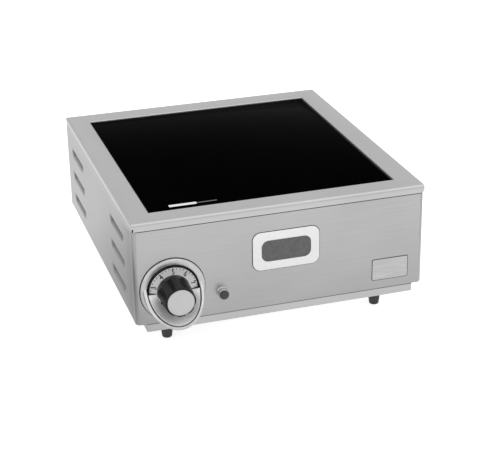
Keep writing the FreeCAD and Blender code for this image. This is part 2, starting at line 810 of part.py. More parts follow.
def make_knob_bezel():
    body = control_body("knob_bezel")
    pad(body, ring(new_sketch(body), d.bezel_radius, MANY_SIDES), d.guard_reach)
    lean_sides(body, d.bezel_radius - d.bezel_tip_radius, d.guard_reach)
    pocket(body, ring(new_sketch(body), d.bezel_bore, MANY_SIDES))
    slope = (d.guard_reach - d.collar_height) / (d.guard_start + d.bezel_tip_radius)
    beyond = 2 * d.bezel_radius
    collar = d.collar_height
    reach = collar + slope * (d.guard_start + beyond)
    scoop = new_sketch(body, "YZ_Plane")
    polygon(scoop, [(beyond, collar), (d.guard_start, collar), (-beyond, reach), (beyond, reach)])
    pocket(body, scoop)
    holes = new_sketch(body)
    for side in (-1, 1):
        hexagon(holes, d.small_screw_radius + d.fit_play, side * bezel_screw_x, 0)
    pocket(body, holes, d.small_screw_length, backwards=True)

    gasket = control_body("bezel_gasket")
    disc = ring(new_sketch(gasket), d.bezel_bore - d.fit_play, MANY_SIDES)
    pad(gasket, circle(disc, 0, 0, d.bushing_radius + d.hole_play), d.gasket_wall)
    screw = screw_template("bezel_screw", d.small_screw_radius, d.small_screw_length)
    spots = [(knob_x + side * bezel_screw_x, front_y + d.sheet_wall, case_z + d.knob_z) for side in (-1, 1)]
    group("bezel_screws", screw, [(spot, OUT_OF_REAR) for spot in spots])


def scallops(sketch, reach):
    """A round outline drawn in to the flute floor at each finger flute."""
    shares = (0, 0.2, 0.89, 1, 0.89, 0.2)
    count = int(d.flute_count.value) * len(shares)
    corners = []
    for step in range(count):
        turn = 2 * math.pi * step / count
        radius = d.flute_floor + shares[step % len(shares)] * (reach - d.flute_floor)
        corners.append((radius * round(math.cos(turn), 9), radius * round(math.sin(turn), 9)))
    return polygon(sketch, corners)


def make_knob():
    skirt = control_body("dial_skirt")
    edge_top = d.skirt_edge
    rise = d.skirt_seat - edge_top
    pad(skirt, ring(new_sketch(skirt, lift=edge_top), d.skirt_radius, MANY_SIDES), rise)
    lean_sides(skirt, d.skirt_radius - d.skirt_flat_radius, rise)
    rim = ring(new_sketch(skirt, lift=edge_top), d.skirt_radius, MANY_SIDES)
    pad(skirt, rim, d.skirt_wall, backwards=True)
    pocket(skirt, circle(new_sketch(skirt), 0, 0, d.bushing_radius + d.hole_play))

    grip = control_body("knob_grip")
    front = d.knob_reach - d.cap_proud
    cap_seat = d.knob_reach - d.cap_wall
    length = front - d.skirt_seat
    pad(grip, scallops(new_sketch(grip, lift=d.skirt_seat), d.grip_base_radius), length)
    lean_sides(grip, d.grip_base_radius - d.grip_tip_radius, length)
    well = ring(new_sketch(grip, lift=front), d.cap_radius + d.fit_play, MANY_SIDES)
    pocket(grip, well, front - cap_seat)
    bore = circle(new_sketch(grip, lift=d.skirt_seat), 0, 0, shaft_bore)
    pocket(grip, bore, d.shaft_tip + d.shaft_play - d.skirt_seat, backwards=True)

    cap = control_body("knob_cap")
    pad(cap, ring(new_sketch(cap, lift=cap_seat), d.cap_radius, MANY_SIDES), d.cap_wall)

    shaft = control_body("switch_shaft")
    shaft_end = switch_rear + d.switch_back / 2
    pad(shaft, circle(new_sketch(shaft, lift=shaft_end), 0, 0, d.shaft_radius), d.shaft_tip - shaft_end)
    side = d.shaft_radius
    land = rectangle(new_sketch(shaft, lift=d.shaft_tip), -side, d.shaft_flat, side, side)
    pocket(shaft, land, d.shaft_flat_length)


def make_switch():
    wall = d.sheet_wall
    bushing = control_body("switch_bushing")
    thread = d.bushing_radius
    shoulder = d.bushing_shoulder
    pad(bushing, ring(new_sketch(bushing, lift=plate_front), shoulder, FEW_SIDES), -wall - plate_front)
    pad(bushing, ring(new_sketch(bushing, lift=-wall), thread, FEW_SIDES), wall + d.bushing_tip)
    pocket(bushing, circle(new_sketch(bushing), 0, 0, shaft_bore))
    nut = control_body("switch_nut")
    sketch = hexagon(new_sketch(nut, lift=d.gasket_wall), d.nut_flats / math.sqrt(3))
    circle(sketch, 0, 0, thread + d.fit_play)
    pad(nut, sketch, d.nut_wall)

    plate = control_body("switch_plate")
    half = d.plate_size / 2
    box(plate, (-half, -half, switch_front), (half, half, plate_front))
    pocket(plate, circle(new_sketch(plate), 0, 0, shaft_bore + d.hole_play))

    housing = control_body("switch_body")
    half = d.switch_size / 2
    room = half - d.switch_wall
    room_depth = d.switch_depth - d.switch_back
    box(housing, (-half, -half, switch_rear), (half, half, switch_front))
    pocket(housing, rectangle(new_sketch(housing, lift=switch_front), -room, -room, room, room), room_depth)
    pocket(housing, circle(new_sketch(housing, lift=switch_front), 0, 0, shaft_bore),
           d.switch_depth - d.switch_back / 2 + d.shaft_play)

    cam = control_body("switch_cam")
    profile = ring(new_sketch(cam, lift=-d.cam_setback - d.cam_wall), d.cam_radius, FEW_SIDES, 0, d.cam_throw)
    pad(cam, circle(profile, 0, 0, shaft_bore), d.cam_wall)

    blade = control_body("switch_bimetal")
    blade_x = d.cam_radius + d.cam_throw + d.blade_gap
    box(blade, (blade_x, -d.blade_width / 2, switch_rear + d.switch_back),
        (blade_x + d.blade_wall, d.blade_width / 2, -d.cam_setback))

    tab = new_body("switch_tab", (0, 0, 0), keep=False)
    box(tab, (-d.tab_width / 2, -d.blade_wall / 2, -d.tab_length), (d.tab_width / 2, d.blade_wall / 2, 0))
    spots = [(x, front_y - switch_rear, z) for x in tab_columns() for z in tab_rows()]
    group("switch_terminals", tab, [(spot, OUT_OF_FRONT) for spot in spots])


def tab_columns():
    return (knob_x - d.tab_spread_x, knob_x + d.tab_spread_x)


def tab_rows():
    return (case_z + d.knob_z - d.tab_spread_z, case_z + d.knob_z + d.tab_spread_z)


def pilot_body(label):
    return new_body(label, (pilot_x, front_y, case_z + d.pilot_z), OUT_OF_FRONT)


def make_pilot():
    barrel = pilot_body("pilot_barrel")
    radius = d.pilot_radius
    outline = ring(new_sketch(barrel), radius, FEW_SIDES)
    pad(barrel, ring(outline, barrel_bore, FEW_SIDES), barrel_length)
    lens = pilot_body("pilot_lens")
    plug = ring(new_sketch(lens, lift=barrel_length), barrel_bore - d.fit_play, FEW_SIDES)
    pad(lens, plug, barrel_length / 2, backwards=True)
    pad(lens, ring(new_sketch(lens, lift=barrel_length), radius, FEW_SIDES), d.pilot_reach - barrel_length)
    lamp = pilot_body("pilot_body")
    round_lamp = circle(new_sketch(lamp, lift=-d.lamp_length), 0, 0, lamp_radius)
    pad(lamp, round_lamp, d.lamp_length + barrel_length / 2)
    clip = pilot_body("pilot_clip")
    outline = hexagon(new_sketch(clip, lift=-2 * d.sheet_wall), d.clip_radius)
    pad(clip, circle(outline, 0, 0, lamp_radius + d.fit_play), d.sheet_wall)


def make_front_plates():
    badge = new_body("badge_plaque", (d.badge_x, front_y, case_z + d.badge_z), OUT_OF_FRONT)
    x = d.badge_width / 2
    y = d.badge_height / 2
    box(badge, (-x, -y, 0), (x, y, d.badge_wall))
    round_edges(badge, d.badge_round, upright_edge)
    border = d.field_border
    field = rectangle(new_sketch(badge, lift=d.badge_wall), border - x, border - y, x - border, y - border)
    pocket(badge, field, d.field_depth)
    label = new_body("label_plate", (label_x, front_y, case_z + d.label_z), OUT_OF_FRONT)
    x = d.label_width / 2
    y = d.label_height / 2
    box(label, (-x, -y, 0), (x, y, d.label_wall))
    round_edges(label, d.label_round, upright_edge)


def make_mains():
    spot = (inlet_x, rear_y, case_z + d.inlet_z)
    bushing = new_body("cord_bushing", spot, OUT_OF_REAR)
    bore = d.inlet_bore_radius
    neck = d.inlet_neck_radius
    flange = d.inlet_flange_radius
    pad(bushing, ring(new_sketch(bushing), neck, FEW_SIDES), d.inlet_length, backwards=True)
    pad(bushing, ring(new_sketch(bushing), flange, FEW_SIDES), d.rear_reach)
    pocket(bushing, circle(new_sketch(bushing), 0, 0, bore))
    nut = new_body("bushing_locknut", spot, OUT_OF_REAR)
    lift = -d.sheet_wall - d.locknut_wall
    outline = hexagon(new_sketch(nut, lift=lift), d.locknut_flats / math.sqrt(3))
    pad(nut, circle(outline, 0, 0, neck + d.fit_play), d.locknut_wall)

    block = new_body("terminal_block", in_case(block_x, block_y, pan_floor))
    x = d.block_width / 2
    y = d.block_depth / 2
    box(block, (-x, -y, 0), (x, y, d.block_height))
    slots = new_sketch(block, lift=d.block_height)
    spots = [step * d.block_width / 3 for step in (-1, 0, 1)]
    slot = d.screw_head_radius + d.hole_play
    for spot in spots:
        rectangle(slots, spot - slot, -slot, spot + slot, slot)
    pocket(block, slots, d.screw_head_height)
    head = new_body("clamp_screw", (0, 0, 0), keep=False)
    pad(head, hexagon(new_sketch(head), d.screw_head_radius), d.screw_head_height)
    top = pan_floor + d.block_height - d.screw_head_height
    group("terminal_screws", head, [(in_case(block_x + spot, block_y, top), UPRIGHT) for spot in spots])


def wire_tube(label, radius, corners):
    """A square wire along straight runs joined by tangent arcs of the wire bend radius."""
    points = [FreeCAD.Vector(*[as_size(size).value for size in in_case(*corner)]) for corner in corners]
    bend = d.wire_bend.value
    edges = []
    start = points[0]
    for before, corner, after in zip(points, points[1:], points[2:]):
        back = (before - corner).normalize()
        ahead = (after - corner).normalize()
        half_turn = (math.pi - back.getAngle(ahead)) / 2
        reach = bend * math.tan(half_turn)
        inward = (back + ahead).normalize()
        middle = corner + inward * (bend / math.cos(half_turn) - bend)
        edges.append(Part.makeLine(start, corner + back * reach))
        edges.append(Part.Arc(corner + back * reach, middle, corner + ahead * reach).toShape())
        start = corner + ahead * reach
    edges.append(Part.makeLine(start, points[-1]))
    path = Part.Wire(edges)
    first_way = (points[1] - points[0]).normalize()
    reach = FreeCAD.Vector(0, 0, as_size(radius).value)
    turns = [FreeCAD.Rotation(first_way, 90 * step) for step in range(5)]
    section = Part.makePolygon([points[0] + turn.multVec(reach) for turn in turns])
    feature = doc.addObject("Part::Feature", label)
    feature.Label = label
    feature.Shape = path.makePipeShell([section], True, False)
    nodes.append(feature)
    expected = 2 * as_size(radius).value ** 2 * path.Length
    print(f"{label}: length {path.Length:.1f}, volume over expected {feature.Shape.Volume / expected:.5f}")


def make_wires():
    left, right = tab_columns()
    low = d.knob_z - d.tab_spread_z
    high = d.knob_z + d.tab_spread_z
    tab_end = -half_depth - switch_rear + d.tab_length
    floor = pan_floor + d.wire_rise
    behind = tab_end + 2 * d.wire_bend
    block_front = block_y - d.block_depth / 2
    head_x = d.element_radius + 2 * d.head_length / 3
    head_y = d.head_width / 2
    head_z = rod_z - d.head_height / 4
    aisle = shield_y + d.shield_toe + d.wire_bend
    line = d.notch_x
    wire_tube("line_wire", d.wire_radius, [
        (right, tab_end, low), (right, behind, low), (line, behind, low), (line, behind, floor),
        (line, block_front, floor)])
    wire_tube("load_wire", d.wire_radius, [
        (left, tab_end, high), (left, aisle, high), (head_x, aisle, high), (head_x, aisle, head_z),
        (head_x, -head_y, head_z)])
    feed = block_x + d.block_width / 3
    rise_y = block_front - 3 * d.wire_bend
    wire_tube("return_wire", d.wire_radius, [
        (feed, block_front, floor), (feed, rise_y, floor), (head_x, rise_y, floor), (head_x, rise_y, head_z),
        (head_x, head_y, head_z)])
    lamp_end = d.lamp_length - half_depth
    turn_y = tab_end + 1.2 * d.wire_bend
    wire_tube("pilot_wire", d.pilot_wire_radius, [
        (pilot_x, lamp_end, d.pilot_z), (pilot_x, turn_y, d.pilot_z), (pilot_x, turn_y, high),
        (right, turn_y, high), (right, tab_end, high)])


make_top_frame()
make_front_panel()
make_side_panels()
make_rear_panel()
make_bottom_pan()
make_feet()
make_rear_screws()
make_glass()
make_element()
make_heating_ribbon()
make_rails()
make_heat_shield()
make_knob_bezel()
make_knob()
make_switch()
make_pilot()
make_front_plates()
make_mains()
make_wires()
doc.recompute()

for thing in doc.Objects:
    if "Invalid" in thing.State or "Error" in thing.State:
        raise RuntimeError(f"{thing.Label} did not build: {thing.State}")
for node in nodes:
    if node.Shape.isNull() or not node.Shape.isValid():
        raise RuntimeError(f"{node.Label} has no valid shape")

os.makedirs("parts", exist_ok=True)
for node in nodes:
    node.Shape.exportStep(f"parts/{node.Label}.step")
print(f"{len(nodes)} parts written")
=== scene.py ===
# %% [markdown]
# # A countertop hot plate with a black glass top
# The CAD model gives every piece its size and place, and this script dresses it. The pieces whose
# rounding and detail the eye looks for are modelled again: the folded top, the front and side sheets,
# the glass, the knob with its guard ring, the lamp, the plates, the feet and the rear screws. The other
# solids stay as they are. Every surface gets a finish made of shader nodes. Everything is in metres,
# with Z up and the control panel facing -Y, and sizes that are written in millimetres are multiplied by
# MM.

# %% Load the CAD frame
import json
import math

import bpy
from mathutils import Matrix, Vector


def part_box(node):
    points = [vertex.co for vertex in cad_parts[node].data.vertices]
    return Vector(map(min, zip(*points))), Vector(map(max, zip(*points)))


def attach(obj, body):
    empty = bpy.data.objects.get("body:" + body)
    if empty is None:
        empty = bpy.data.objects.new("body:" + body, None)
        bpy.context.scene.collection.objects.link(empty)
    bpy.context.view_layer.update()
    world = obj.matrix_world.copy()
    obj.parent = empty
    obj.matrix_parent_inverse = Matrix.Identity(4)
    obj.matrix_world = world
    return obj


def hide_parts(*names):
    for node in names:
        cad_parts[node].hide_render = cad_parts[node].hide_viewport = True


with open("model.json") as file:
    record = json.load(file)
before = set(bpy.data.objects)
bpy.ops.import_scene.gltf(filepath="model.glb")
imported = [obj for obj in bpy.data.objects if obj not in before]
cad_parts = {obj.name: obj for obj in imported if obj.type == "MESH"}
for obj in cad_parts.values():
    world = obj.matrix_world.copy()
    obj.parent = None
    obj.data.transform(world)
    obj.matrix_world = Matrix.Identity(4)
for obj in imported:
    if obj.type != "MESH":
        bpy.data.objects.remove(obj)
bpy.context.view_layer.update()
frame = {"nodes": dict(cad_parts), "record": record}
nodes = frame["nodes"]

# %% [markdown]
# ## Camera
# The photograph is a three-quarter view from the front left, a little above the top. Its angles were
# worked out from the straight edges of the case, so the camera is not aimed by eye: two angles, a roll
# and a distance give its axes directly. A long lens keeps the edges nearly parallel, as a catalogue
# photograph does.

# %% Camera from measured angles
TURN, TILT, ROLL = -17.08, 23.47, -1.06  # degrees
CASE_MIDDLE = Vector((0, 0.019, 0.043))
SHIFT_RIGHT, SHIFT_UP, DISTANCE = 0.020625, 0.0210, 1.930875
PHOTO_WIDTH, FOCAL_LENGTH = 500, 1402  # pixels
SENSOR_WIDTH = 36  # millimetres

turn, tilt, roll = (math.radians(angle) for angle in (TURN, TILT, ROLL))
look_back = Vector((math.sin(turn) * math.cos(tilt), -math.cos(turn) * math.cos(tilt), math.sin(tilt)))
level = Vector((0, 0, 1)).cross(look_back).normalized()
upward = look_back.cross(level)
right = level * math.cos(roll) + upward * math.sin(roll)
above = upward * math.cos(roll) - level * math.sin(roll)
eye = CASE_MIDDLE + right * SHIFT_RIGHT + above * SHIFT_UP + look_back * DISTANCE

camera_data = bpy.data.cameras.new("photo_camera")
camera_data.sensor_fit = "HORIZONTAL"
camera_data.sensor_width = SENSOR_WIDTH
camera_data.lens = SENSOR_WIDTH * FOCAL_LENGTH / PHOTO_WIDTH
camera = bpy.data.objects.new("photo_camera", camera_data)
bpy.context.scene.collection.objects.link(camera)
camera.matrix_world = Matrix.Translation(eye) @ Matrix((right, above, look_back)).transposed().to_4x4()
bpy.context.scene.camera = camera
print("camera at", [round(v, 3) for v in eye], "lens", round(camera_data.lens, 1), "mm")

# %% [markdown]
# ## Helpers for modelling
# Blender's operators act on what is selected, so the first helpers select one piece, or all of its
# mesh, and nothing else. The next ones make the shapes that come back again and again: a box, a grid
# whose points are moved to a formula, a sheet's wall and a cut. `settle` is the last step of every
# piece: its place goes into its mesh, and it gets a finish and a CAD body.

# %% Helpers: selection and edit mode
MM = 0.001
DOUBLES = 1e-6
FACING_FRONT = Matrix.Rotation(math.pi / 2, 4, "X")


def clear_selection():
    """Object mode, with nothing selected."""
    if bpy.context.object is not None and bpy.context.object.mode != "OBJECT":
        bpy.ops.object.mode_set(mode="OBJECT")
    bpy.ops.object.select_all(action="DESELECT")


def pick(*pieces):
    """These pieces alone are selected, and the first of them is active."""
    clear_selection()
    for piece in pieces:
        piece.select_set(True)
    bpy.context.view_layer.objects.active = pieces[0]


def edit_all(piece):
    """Edit mode, with all of this piece selected."""
    pick(piece)
    bpy.ops.object.mode_set(mode="EDIT")
    bpy.ops.mesh.select_all(action="SELECT")


def close_mesh(sides=0):
    """In edit mode: doubles merge, holes close, faces turn outwards, and edit mode ends."""
    bpy.ops.mesh.select_all(action="SELECT")
    bpy.ops.mesh.remove_doubles(threshold=DOUBLES)
    bpy.ops.mesh.fill_holes(sides=sides)
    bpy.ops.mesh.select_all(action="SELECT")
    bpy.ops.mesh.normals_make_consistent(inside=False)
    bpy.ops.object.mode_set(mode="OBJECT")


def apply_place():
    """The place, turn and scale of what is selected go into its mesh."""
    bpy.ops.object.transform_apply(location=True, rotation=True, scale=True)


print("selection helpers ready")


# %% Helpers: box, bent grid, wall and cut
def add_box(name, size, middle=(0, 0, 0)):
    """A box of this size with its middle here, in metres."""
    clear_selection()
    bpy.ops.mesh.primitive_cube_add(size=1)
    box = bpy.context.object
    box.name = box.data.name = name
    box.scale = size
    box.location = middle
    apply_place()
    return box


def bent_grid(name, columns, rows, place, painted_light=None):
    """A grid with a point for each column and row, moved to its place in millimetres.

    Where painted_light is given, what it says of a column and row is kept in an attribute of that name.
    """
    clear_selection()
    bpy.ops.mesh.primitive_grid_add(x_subdivisions=len(columns) - 1, y_subdivisions=len(rows) - 1, size=1)
    piece = bpy.context.object
    piece.name = piece.data.name = name
    painted_layer = piece.data.attributes.new("painted_light", "FLOAT", "POINT") if painted_light else None
    for point in piece.data.vertices:
        column = columns[round((point.co.x + 0.5) * (len(columns) - 1))]
        row = rows[round((point.co.y + 0.5) * (len(rows) - 1))]
        point.co = [value * MM for value in place(column, row)]
        if painted_light:
            painted_layer.data[point.index].value = painted_light(column, row)
    return piece


def thicken(piece, wall, offset=-1):
    """A sheet gets its wall, in millimetres, behind its faces, or before them if the offset is 1."""
    pick(piece)
    thick = piece.modifiers.new("wall", "SOLIDIFY")
    thick.thickness = wall * MM
    thick.offset = offset
    bpy.ops.object.modifier_apply(modifier="wall")


def cut_away(piece, cutter):
    """The cutter is taken out of the piece and then removed."""
    pick(piece)
    cut = piece.modifiers.new("cut", "BOOLEAN")
    cut.operation = "DIFFERENCE"
    cut.object = cutter
    bpy.ops.object.modifier_apply(modifier="cut")
    bpy.data.objects.remove(cutter)


print("shape helpers ready")

# %% [markdown]
# ## Turned pieces
# A turned piece (a foot, a knob, a ring) could be a curve with a screw modifier. Here it is a circle
# that is extruded and scaled ring by ring, which is how one would do it by hand, and which leaves clean
# bands of faces.


# %% Helpers: turn a profile, copy, join, settle a piece
def turn_profile(name, rings, segments=96):
    """A circle extruded through rings of (radius, height) in millimetres, about Z."""
    clear_selection()
    bpy.ops.mesh.primitive_circle_add(vertices=segments, radius=rings[0][0] * MM)
    piece = bpy.context.object
    piece.name = piece.data.name = name
    edit_all(piece)
    bpy.ops.transform.translate(value=(0, 0, rings[0][1] * MM))
    for (radius, height), (next_radius, next_height) in zip(rings, rings[1:]):
        step = (0, 0, (next_height - height) * MM)
        bpy.ops.mesh.extrude_region_move(TRANSFORM_OT_translate={"value": step})
        scale = next_radius / radius
        bpy.ops.transform.resize(value=(scale, scale, 1), center_override=(0, 0, next_height * MM))
    close_mesh()
    return piece


def copy_of(piece, name):
    """A copy with its own mesh."""
    copy = bpy.data.objects.new(name, piece.data.copy())
    bpy.context.scene.collection.objects.link(copy)
    return copy


def join(name, pieces):
    """Pieces of one body become one piece, with their places in its mesh."""
    pick(*pieces)
    apply_place()
    bpy.ops.object.join()
    joined = bpy.context.object
    joined.name = joined.data.name = name
    return joined


def settle(piece, body, finish, slot, *stands_for, spot=None, sharp=35):
    """The piece goes to its spot, with the place in its mesh, and gets its finish and its CAD body."""
    pick(piece)
    if spot is not None:
        piece.matrix_world = spot
    apply_place()
    bpy.ops.object.shade_smooth_by_angle(angle=math.radians(sharp))
    piece.data.materials.clear()
    piece.data.materials.append(finish)
    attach(piece, body)
    if stands_for:
        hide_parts(*stands_for)
    print(piece.name, "on", body, "faces", len(piece.data.polygons))


print("piece helpers ready")

# %% [markdown]
# ## Helpers for finishes
# A finish is one Principled shader whose colour, roughness and bump come from noise read in Object
# coordinates. Noise that is squeezed along one axis gives brushed metal, noise read by the distance
# from an axis gives spun metal, and plain noise gives moulded plastic and rubber. Tones are numbers for
# a grey or three numbers for a colour. These few helpers keep every finish down to a few lines.

# %% Helpers: start a finish, read noise
EVEN = (1, 1, 1)
NOISE_RANGE = (0.3, 0.7)


def start_finish(name, metallic=0.0, specular=0.5):
    """A new material: its node tree, its shader and its Object coordinates."""
    finish = bpy.data.materials.new(name)
    finish.use_nodes = True
    tree = finish.node_tree
    shader = tree.nodes["Principled BSDF"]
    shader.inputs["Metallic"].default_value = metallic
    shader.inputs["Specular IOR Level"].default_value = specular
    place = tree.nodes.new("ShaderNodeTexCoord").outputs["Object"]
    return finish, tree, shader, place


def noise(tree, place, scale, stretch=EVEN, detail=3):
    """Noise with its own stretch along the three axes."""
    mapping = tree.nodes.new("ShaderNodeMapping")
    mapping.inputs["Scale"].default_value = stretch
    texture = tree.nodes.new("ShaderNodeTexNoise")
    texture.inputs["Scale"].default_value = scale
    texture.inputs["Detail"].default_value = detail
    tree.links.new(place, mapping.inputs["Vector"])
    tree.links.new(mapping.outputs["Vector"], texture.inputs["Vector"])
    return texture.outputs["Fac"]


def spun_noise(tree, place, centre, scale):
    """Rings about an axis along Y: noise read by the distance from it."""
    mapping = tree.nodes.new("ShaderNodeMapping")
    mapping.inputs["Location"].default_value = (-centre.x, 0, -centre.z)
    mapping.inputs["Scale"].default_value = (1, 0, 1)
    length = tree.nodes.new("ShaderNodeVectorMath")
    length.operation = "LENGTH"
    texture = tree.nodes.new("ShaderNodeTexNoise")
    texture.noise_dimensions = "1D"
    texture.inputs["Scale"].default_value = scale
    texture.inputs["Detail"].default_value = 4
    tree.links.new(place, mapping.inputs["Vector"])
    tree.links.new(mapping.outputs["Vector"], length.inputs[0])
    tree.links.new(length.outputs["Value"], texture.inputs["W"])
    return texture.outputs["Fac"]


def attribute(finish, name):
    """The piece's own attribute of this name."""
    reader = finish.node_tree.nodes.new("ShaderNodeAttribute")
    reader.attribute_name = name
    return reader.outputs["Fac"]


print("noise helpers ready")


# %% Helpers: arithmetic, colour, roughness and bump
def calculate(tree, operation, *terms):
    """A math node, whose terms are numbers or the outputs of other nodes."""
    node = tree.nodes.new("ShaderNodeMath")
    node.operation = operation
    for socket, term in zip(node.inputs, terms):
        if isinstance(term, float):
            socket.default_value = term
        else:
            tree.links.new(term, socket)
    return node.outputs["Value"]


def spread(tree, amount, edges, values):
    """A number that goes between two values while the amount goes between two edges."""
    node = tree.nodes.new("ShaderNodeMapRange")
    for socket, value in zip(("From Min", "From Max", "To Min", "To Max"), (*edges, *values)):
        node.inputs[socket].default_value = value
    tree.links.new(amount, node.inputs["Value"])
    return node.outputs["Result"]


def colour_between(tree, shader, amount, low, high, edges=NOISE_RANGE):
    """The base colour goes from low to high with the amount."""
    ramp = tree.nodes.new("ShaderNodeValToRGB")
    for stop, edge, tone in zip(ramp.color_ramp.elements, edges, (low, high)):
        stop.position = edge
        stop.color = (*tone, 1) if isinstance(tone, tuple) else (tone, tone, tone, 1)
    tree.links.new(amount, ramp.inputs["Fac"])
    tree.links.new(ramp.outputs["Color"], shader.inputs["Base Color"])


def roughness_between(tree, shader, amount, low, high):
    """The roughness goes from low to high with the amount."""
    tree.links.new(spread(tree, amount, NOISE_RANGE, (low, high)), shader.inputs["Roughness"])


def relief(tree, shader, amount, strength, depth):
    """A bump of this depth, in metres."""
    bump = tree.nodes.new("ShaderNodeBump")
    bump.inputs["Strength"].default_value = strength
    bump.inputs["Distance"].default_value = depth
    tree.links.new(amount, bump.inputs["Height"])
    tree.links.new(bump.outputs["Normal"], shader.inputs["Normal"])


def scale_colour(finish, amount, edges, factors):
    """The base colour is multiplied by a factor that goes with the amount, between two edges."""
    tree = finish.node_tree
    base = tree.nodes["Principled BSDF"].inputs["Base Color"]
    shade = tree.nodes.new("ShaderNodeVectorMath")
    shade.operation = "SCALE"
    tree.links.new(base.links[0].from_socket, shade.inputs[0])
    tree.links.new(spread(tree, amount, edges, factors), shade.inputs["Scale"])
    tree.links.new(shade.outputs["Vector"], base)


print("finish helpers ready")

# %% [markdown]
# ## Brushed stainless sheet
# The case is sheet with a satin grain that the mill rolls in along one direction. The grain runs along
# the width on the top, front and rear, and along the depth on the sides, so one recipe stretches its
# noise along either axis. Long streaks change the colour and the roughness a little, and a slow cloud
# of wider noise stands for the faint waviness and handling marks of real sheet.

# %% Brushed stainless, two directions
ALONG_WIDTH, ALONG_DEPTH = (0.012, 1, 1), (1, 0.012, 1)
STREAKS, CLOUD = 1400, 9
STREAK_SHARE, CLOUD_SHARE = 0.55, 0.45
DARKER, LIGHTER = 0.90, 1.08


def brushed_steel(name, stretch, tone):
    finish, tree, shader, place = start_finish(name, metallic=1.0)
    streaks = noise(tree, place, STREAKS, stretch, detail=2)
    cloud = calculate(tree, "MULTIPLY", noise(tree, place, CLOUD), CLOUD_SHARE)
    grain = calculate(tree, "MULTIPLY_ADD", streaks, STREAK_SHARE, cloud)
    colour_between(tree, shader, grain, tone * DARKER, tone * LIGHTER)
    roughness_between(tree, shader, grain, 0.30, 0.42)
    relief(tree, shader, streaks, 0.10, 0.00005)
    return finish


steel_across = brushed_steel("steel_brushed_across", ALONG_WIDTH, 0.42)
# The side sheets get a darker copy of the same stainless, as painted shade, and the pan a lighter copy, as
# painted light.
steel_along_painted_shade = brushed_steel("steel_brushed_along_painted_shade", ALONG_DEPTH, 0.35)
pan_steel_painted_light_shade = brushed_steel("steel_pan_painted_light_shade", ALONG_WIDTH, 0.45)
steel_top_painted_highlight = brushed_steel("steel_top_painted_highlight", ALONG_WIDTH, 0.42)
steel_front_painted_shade = brushed_steel("steel_front_painted_shade", ALONG_WIDTH, 0.42)
print("made", [steel.name for steel in (steel_across, steel_along_painted_shade, pan_steel_painted_light_shade, steel_top_painted_highlight, steel_front_painted_shade)])

# %% [markdown]
# ## Steel with painted light and shade
# Three sheets change their tone with height: the pan is painted dark along its joint as shade in the gap
# under the front, the rolled front of the top is painted lighter than its flat as a highlight, and the
# front is painted darker at the foot and lighter at the brow. The side and front sheets also carry an
# attribute of their own, which is high for painted shade in the louvres, in the top fold and on the front
# corners, and low for a painted highlight on the edge below the fold. Colour is multiplied by it, so the
# grain stays.


# %% Painted light and shade by height, and by the attribute
def scale_by_height(finish, edges, factors):
    """The base colour is multiplied by a factor that goes with height, between two heights."""
    tree = finish.node_tree
    apart = tree.nodes.new("ShaderNodeSeparateXYZ")
    tree.links.new(tree.nodes.new("ShaderNodeTexCoord").outputs["Object"], apart.inputs["Vector"])
    scale_colour(finish, apart.outputs["Z"], edges, factors)


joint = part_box("front_panel")[0].z
skirt, brow = (corner.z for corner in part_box("top_frame"))
# Painted shade: the pan's colour is darkened to 0.3 in a band just below the front sheet's foot, for the
# shade in the gap there.
scale_by_height(pan_steel_painted_light_shade, (joint - 1.6 * MM, joint - 1.2 * MM), (1.0, 0.3))
# Painted highlight: the top's colour is painted lighter on its front skirt, below the fold, than on its flat.
scale_by_height(steel_top_painted_highlight, (brow - 5 * MM, brow - 2 * MM), (1.18, 1.0))
# Painted shade: the front's colour is painted darker towards its foot and lighter towards its brow.
scale_by_height(steel_front_painted_shade, (joint, skirt), (0.87, 1.07))
# Painted light and shade from the attribute: where it is high the colour is painted darker, where it is low
# lighter.
for steel in (steel_along_painted_shade, steel_front_painted_shade):
    scale_colour(steel, attribute(steel, "painted_light"), (-1.0, 1.0), (1.9, 0.1))
print("joint line of the pan at", round(joint, 4), "skirt at", round(skirt, 4), "brow at", round(brow, 4))

# %% [markdown]
# ## Satin, spun metal and plated steel
# The guard ring and the lamp barrel are satin chrome on a casting, and the cup inside the ring is
# paler. The dial and the knob's cap are spun discs, so their fine rings run about the knob's axis.
# Inner brackets and screws are zinc plated, and a cell pattern gives them the dull spangle of zinc.


# %% Helper: a finish from one noise
def on_front(node):
    """The middle of a CAD node, on the face of the front sheet."""
    low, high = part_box(node)
    return Vector(((low.x + high.x) / 2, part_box("front_panel")[0].y, (low.z + high.z) / 2))


def grained(name, low, high, scale, rough, metallic=0.0, specular=0.5, bump=None, stretch=EVEN, axis=None):
    """A finish whose tone and roughness go with one noise, and whose bump is (strength, depth)."""
    finish, tree, shader, place = start_finish(name, metallic, specular)
    if axis is None:
        grain = noise(tree, place, scale, stretch)
    else:
        grain = spun_noise(tree, place, axis, scale)
    colour_between(tree, shader, grain, low, high)
    roughness_between(tree, shader, grain, *rough)
    if bump:
        relief(tree, shader, grain, *bump)
    return finish


knob_centre = on_front("dial_skirt")
lamp_centre = on_front("pilot_barrel")
print("knob at", [round(v, 4) for v in knob_centre], "lamp at", [round(v, 4) for v in lamp_centre])

# %% Satin, spun discs, brass and zinc
satin = grained("guard_satin", 0.50, 0.58, 160, (0.26, 0.38), metallic=0.75, bump=(0.08, 0.00004))
cup_satin = grained("cup_satin", 0.90, 0.96, 160, (0.36, 0.46))
dial_metal = grained("dial_spun_metal", 0.36, 0.50, 2600, (0.20, 0.34), metallic=1.0, bump=(0.05, 0.00003),
                     axis=knob_centre)
cap_metal = grained("cap_spun_metal", 0.42, 0.54, 3200, (0.28, 0.42), metallic=1.0, bump=(0.2, 0.00004),
                    axis=knob_centre)
brass = grained("brass_plain", (0.52, 0.38, 0.17), (0.72, 0.56, 0.28), 140, (0.25, 0.45), metallic=1.0)

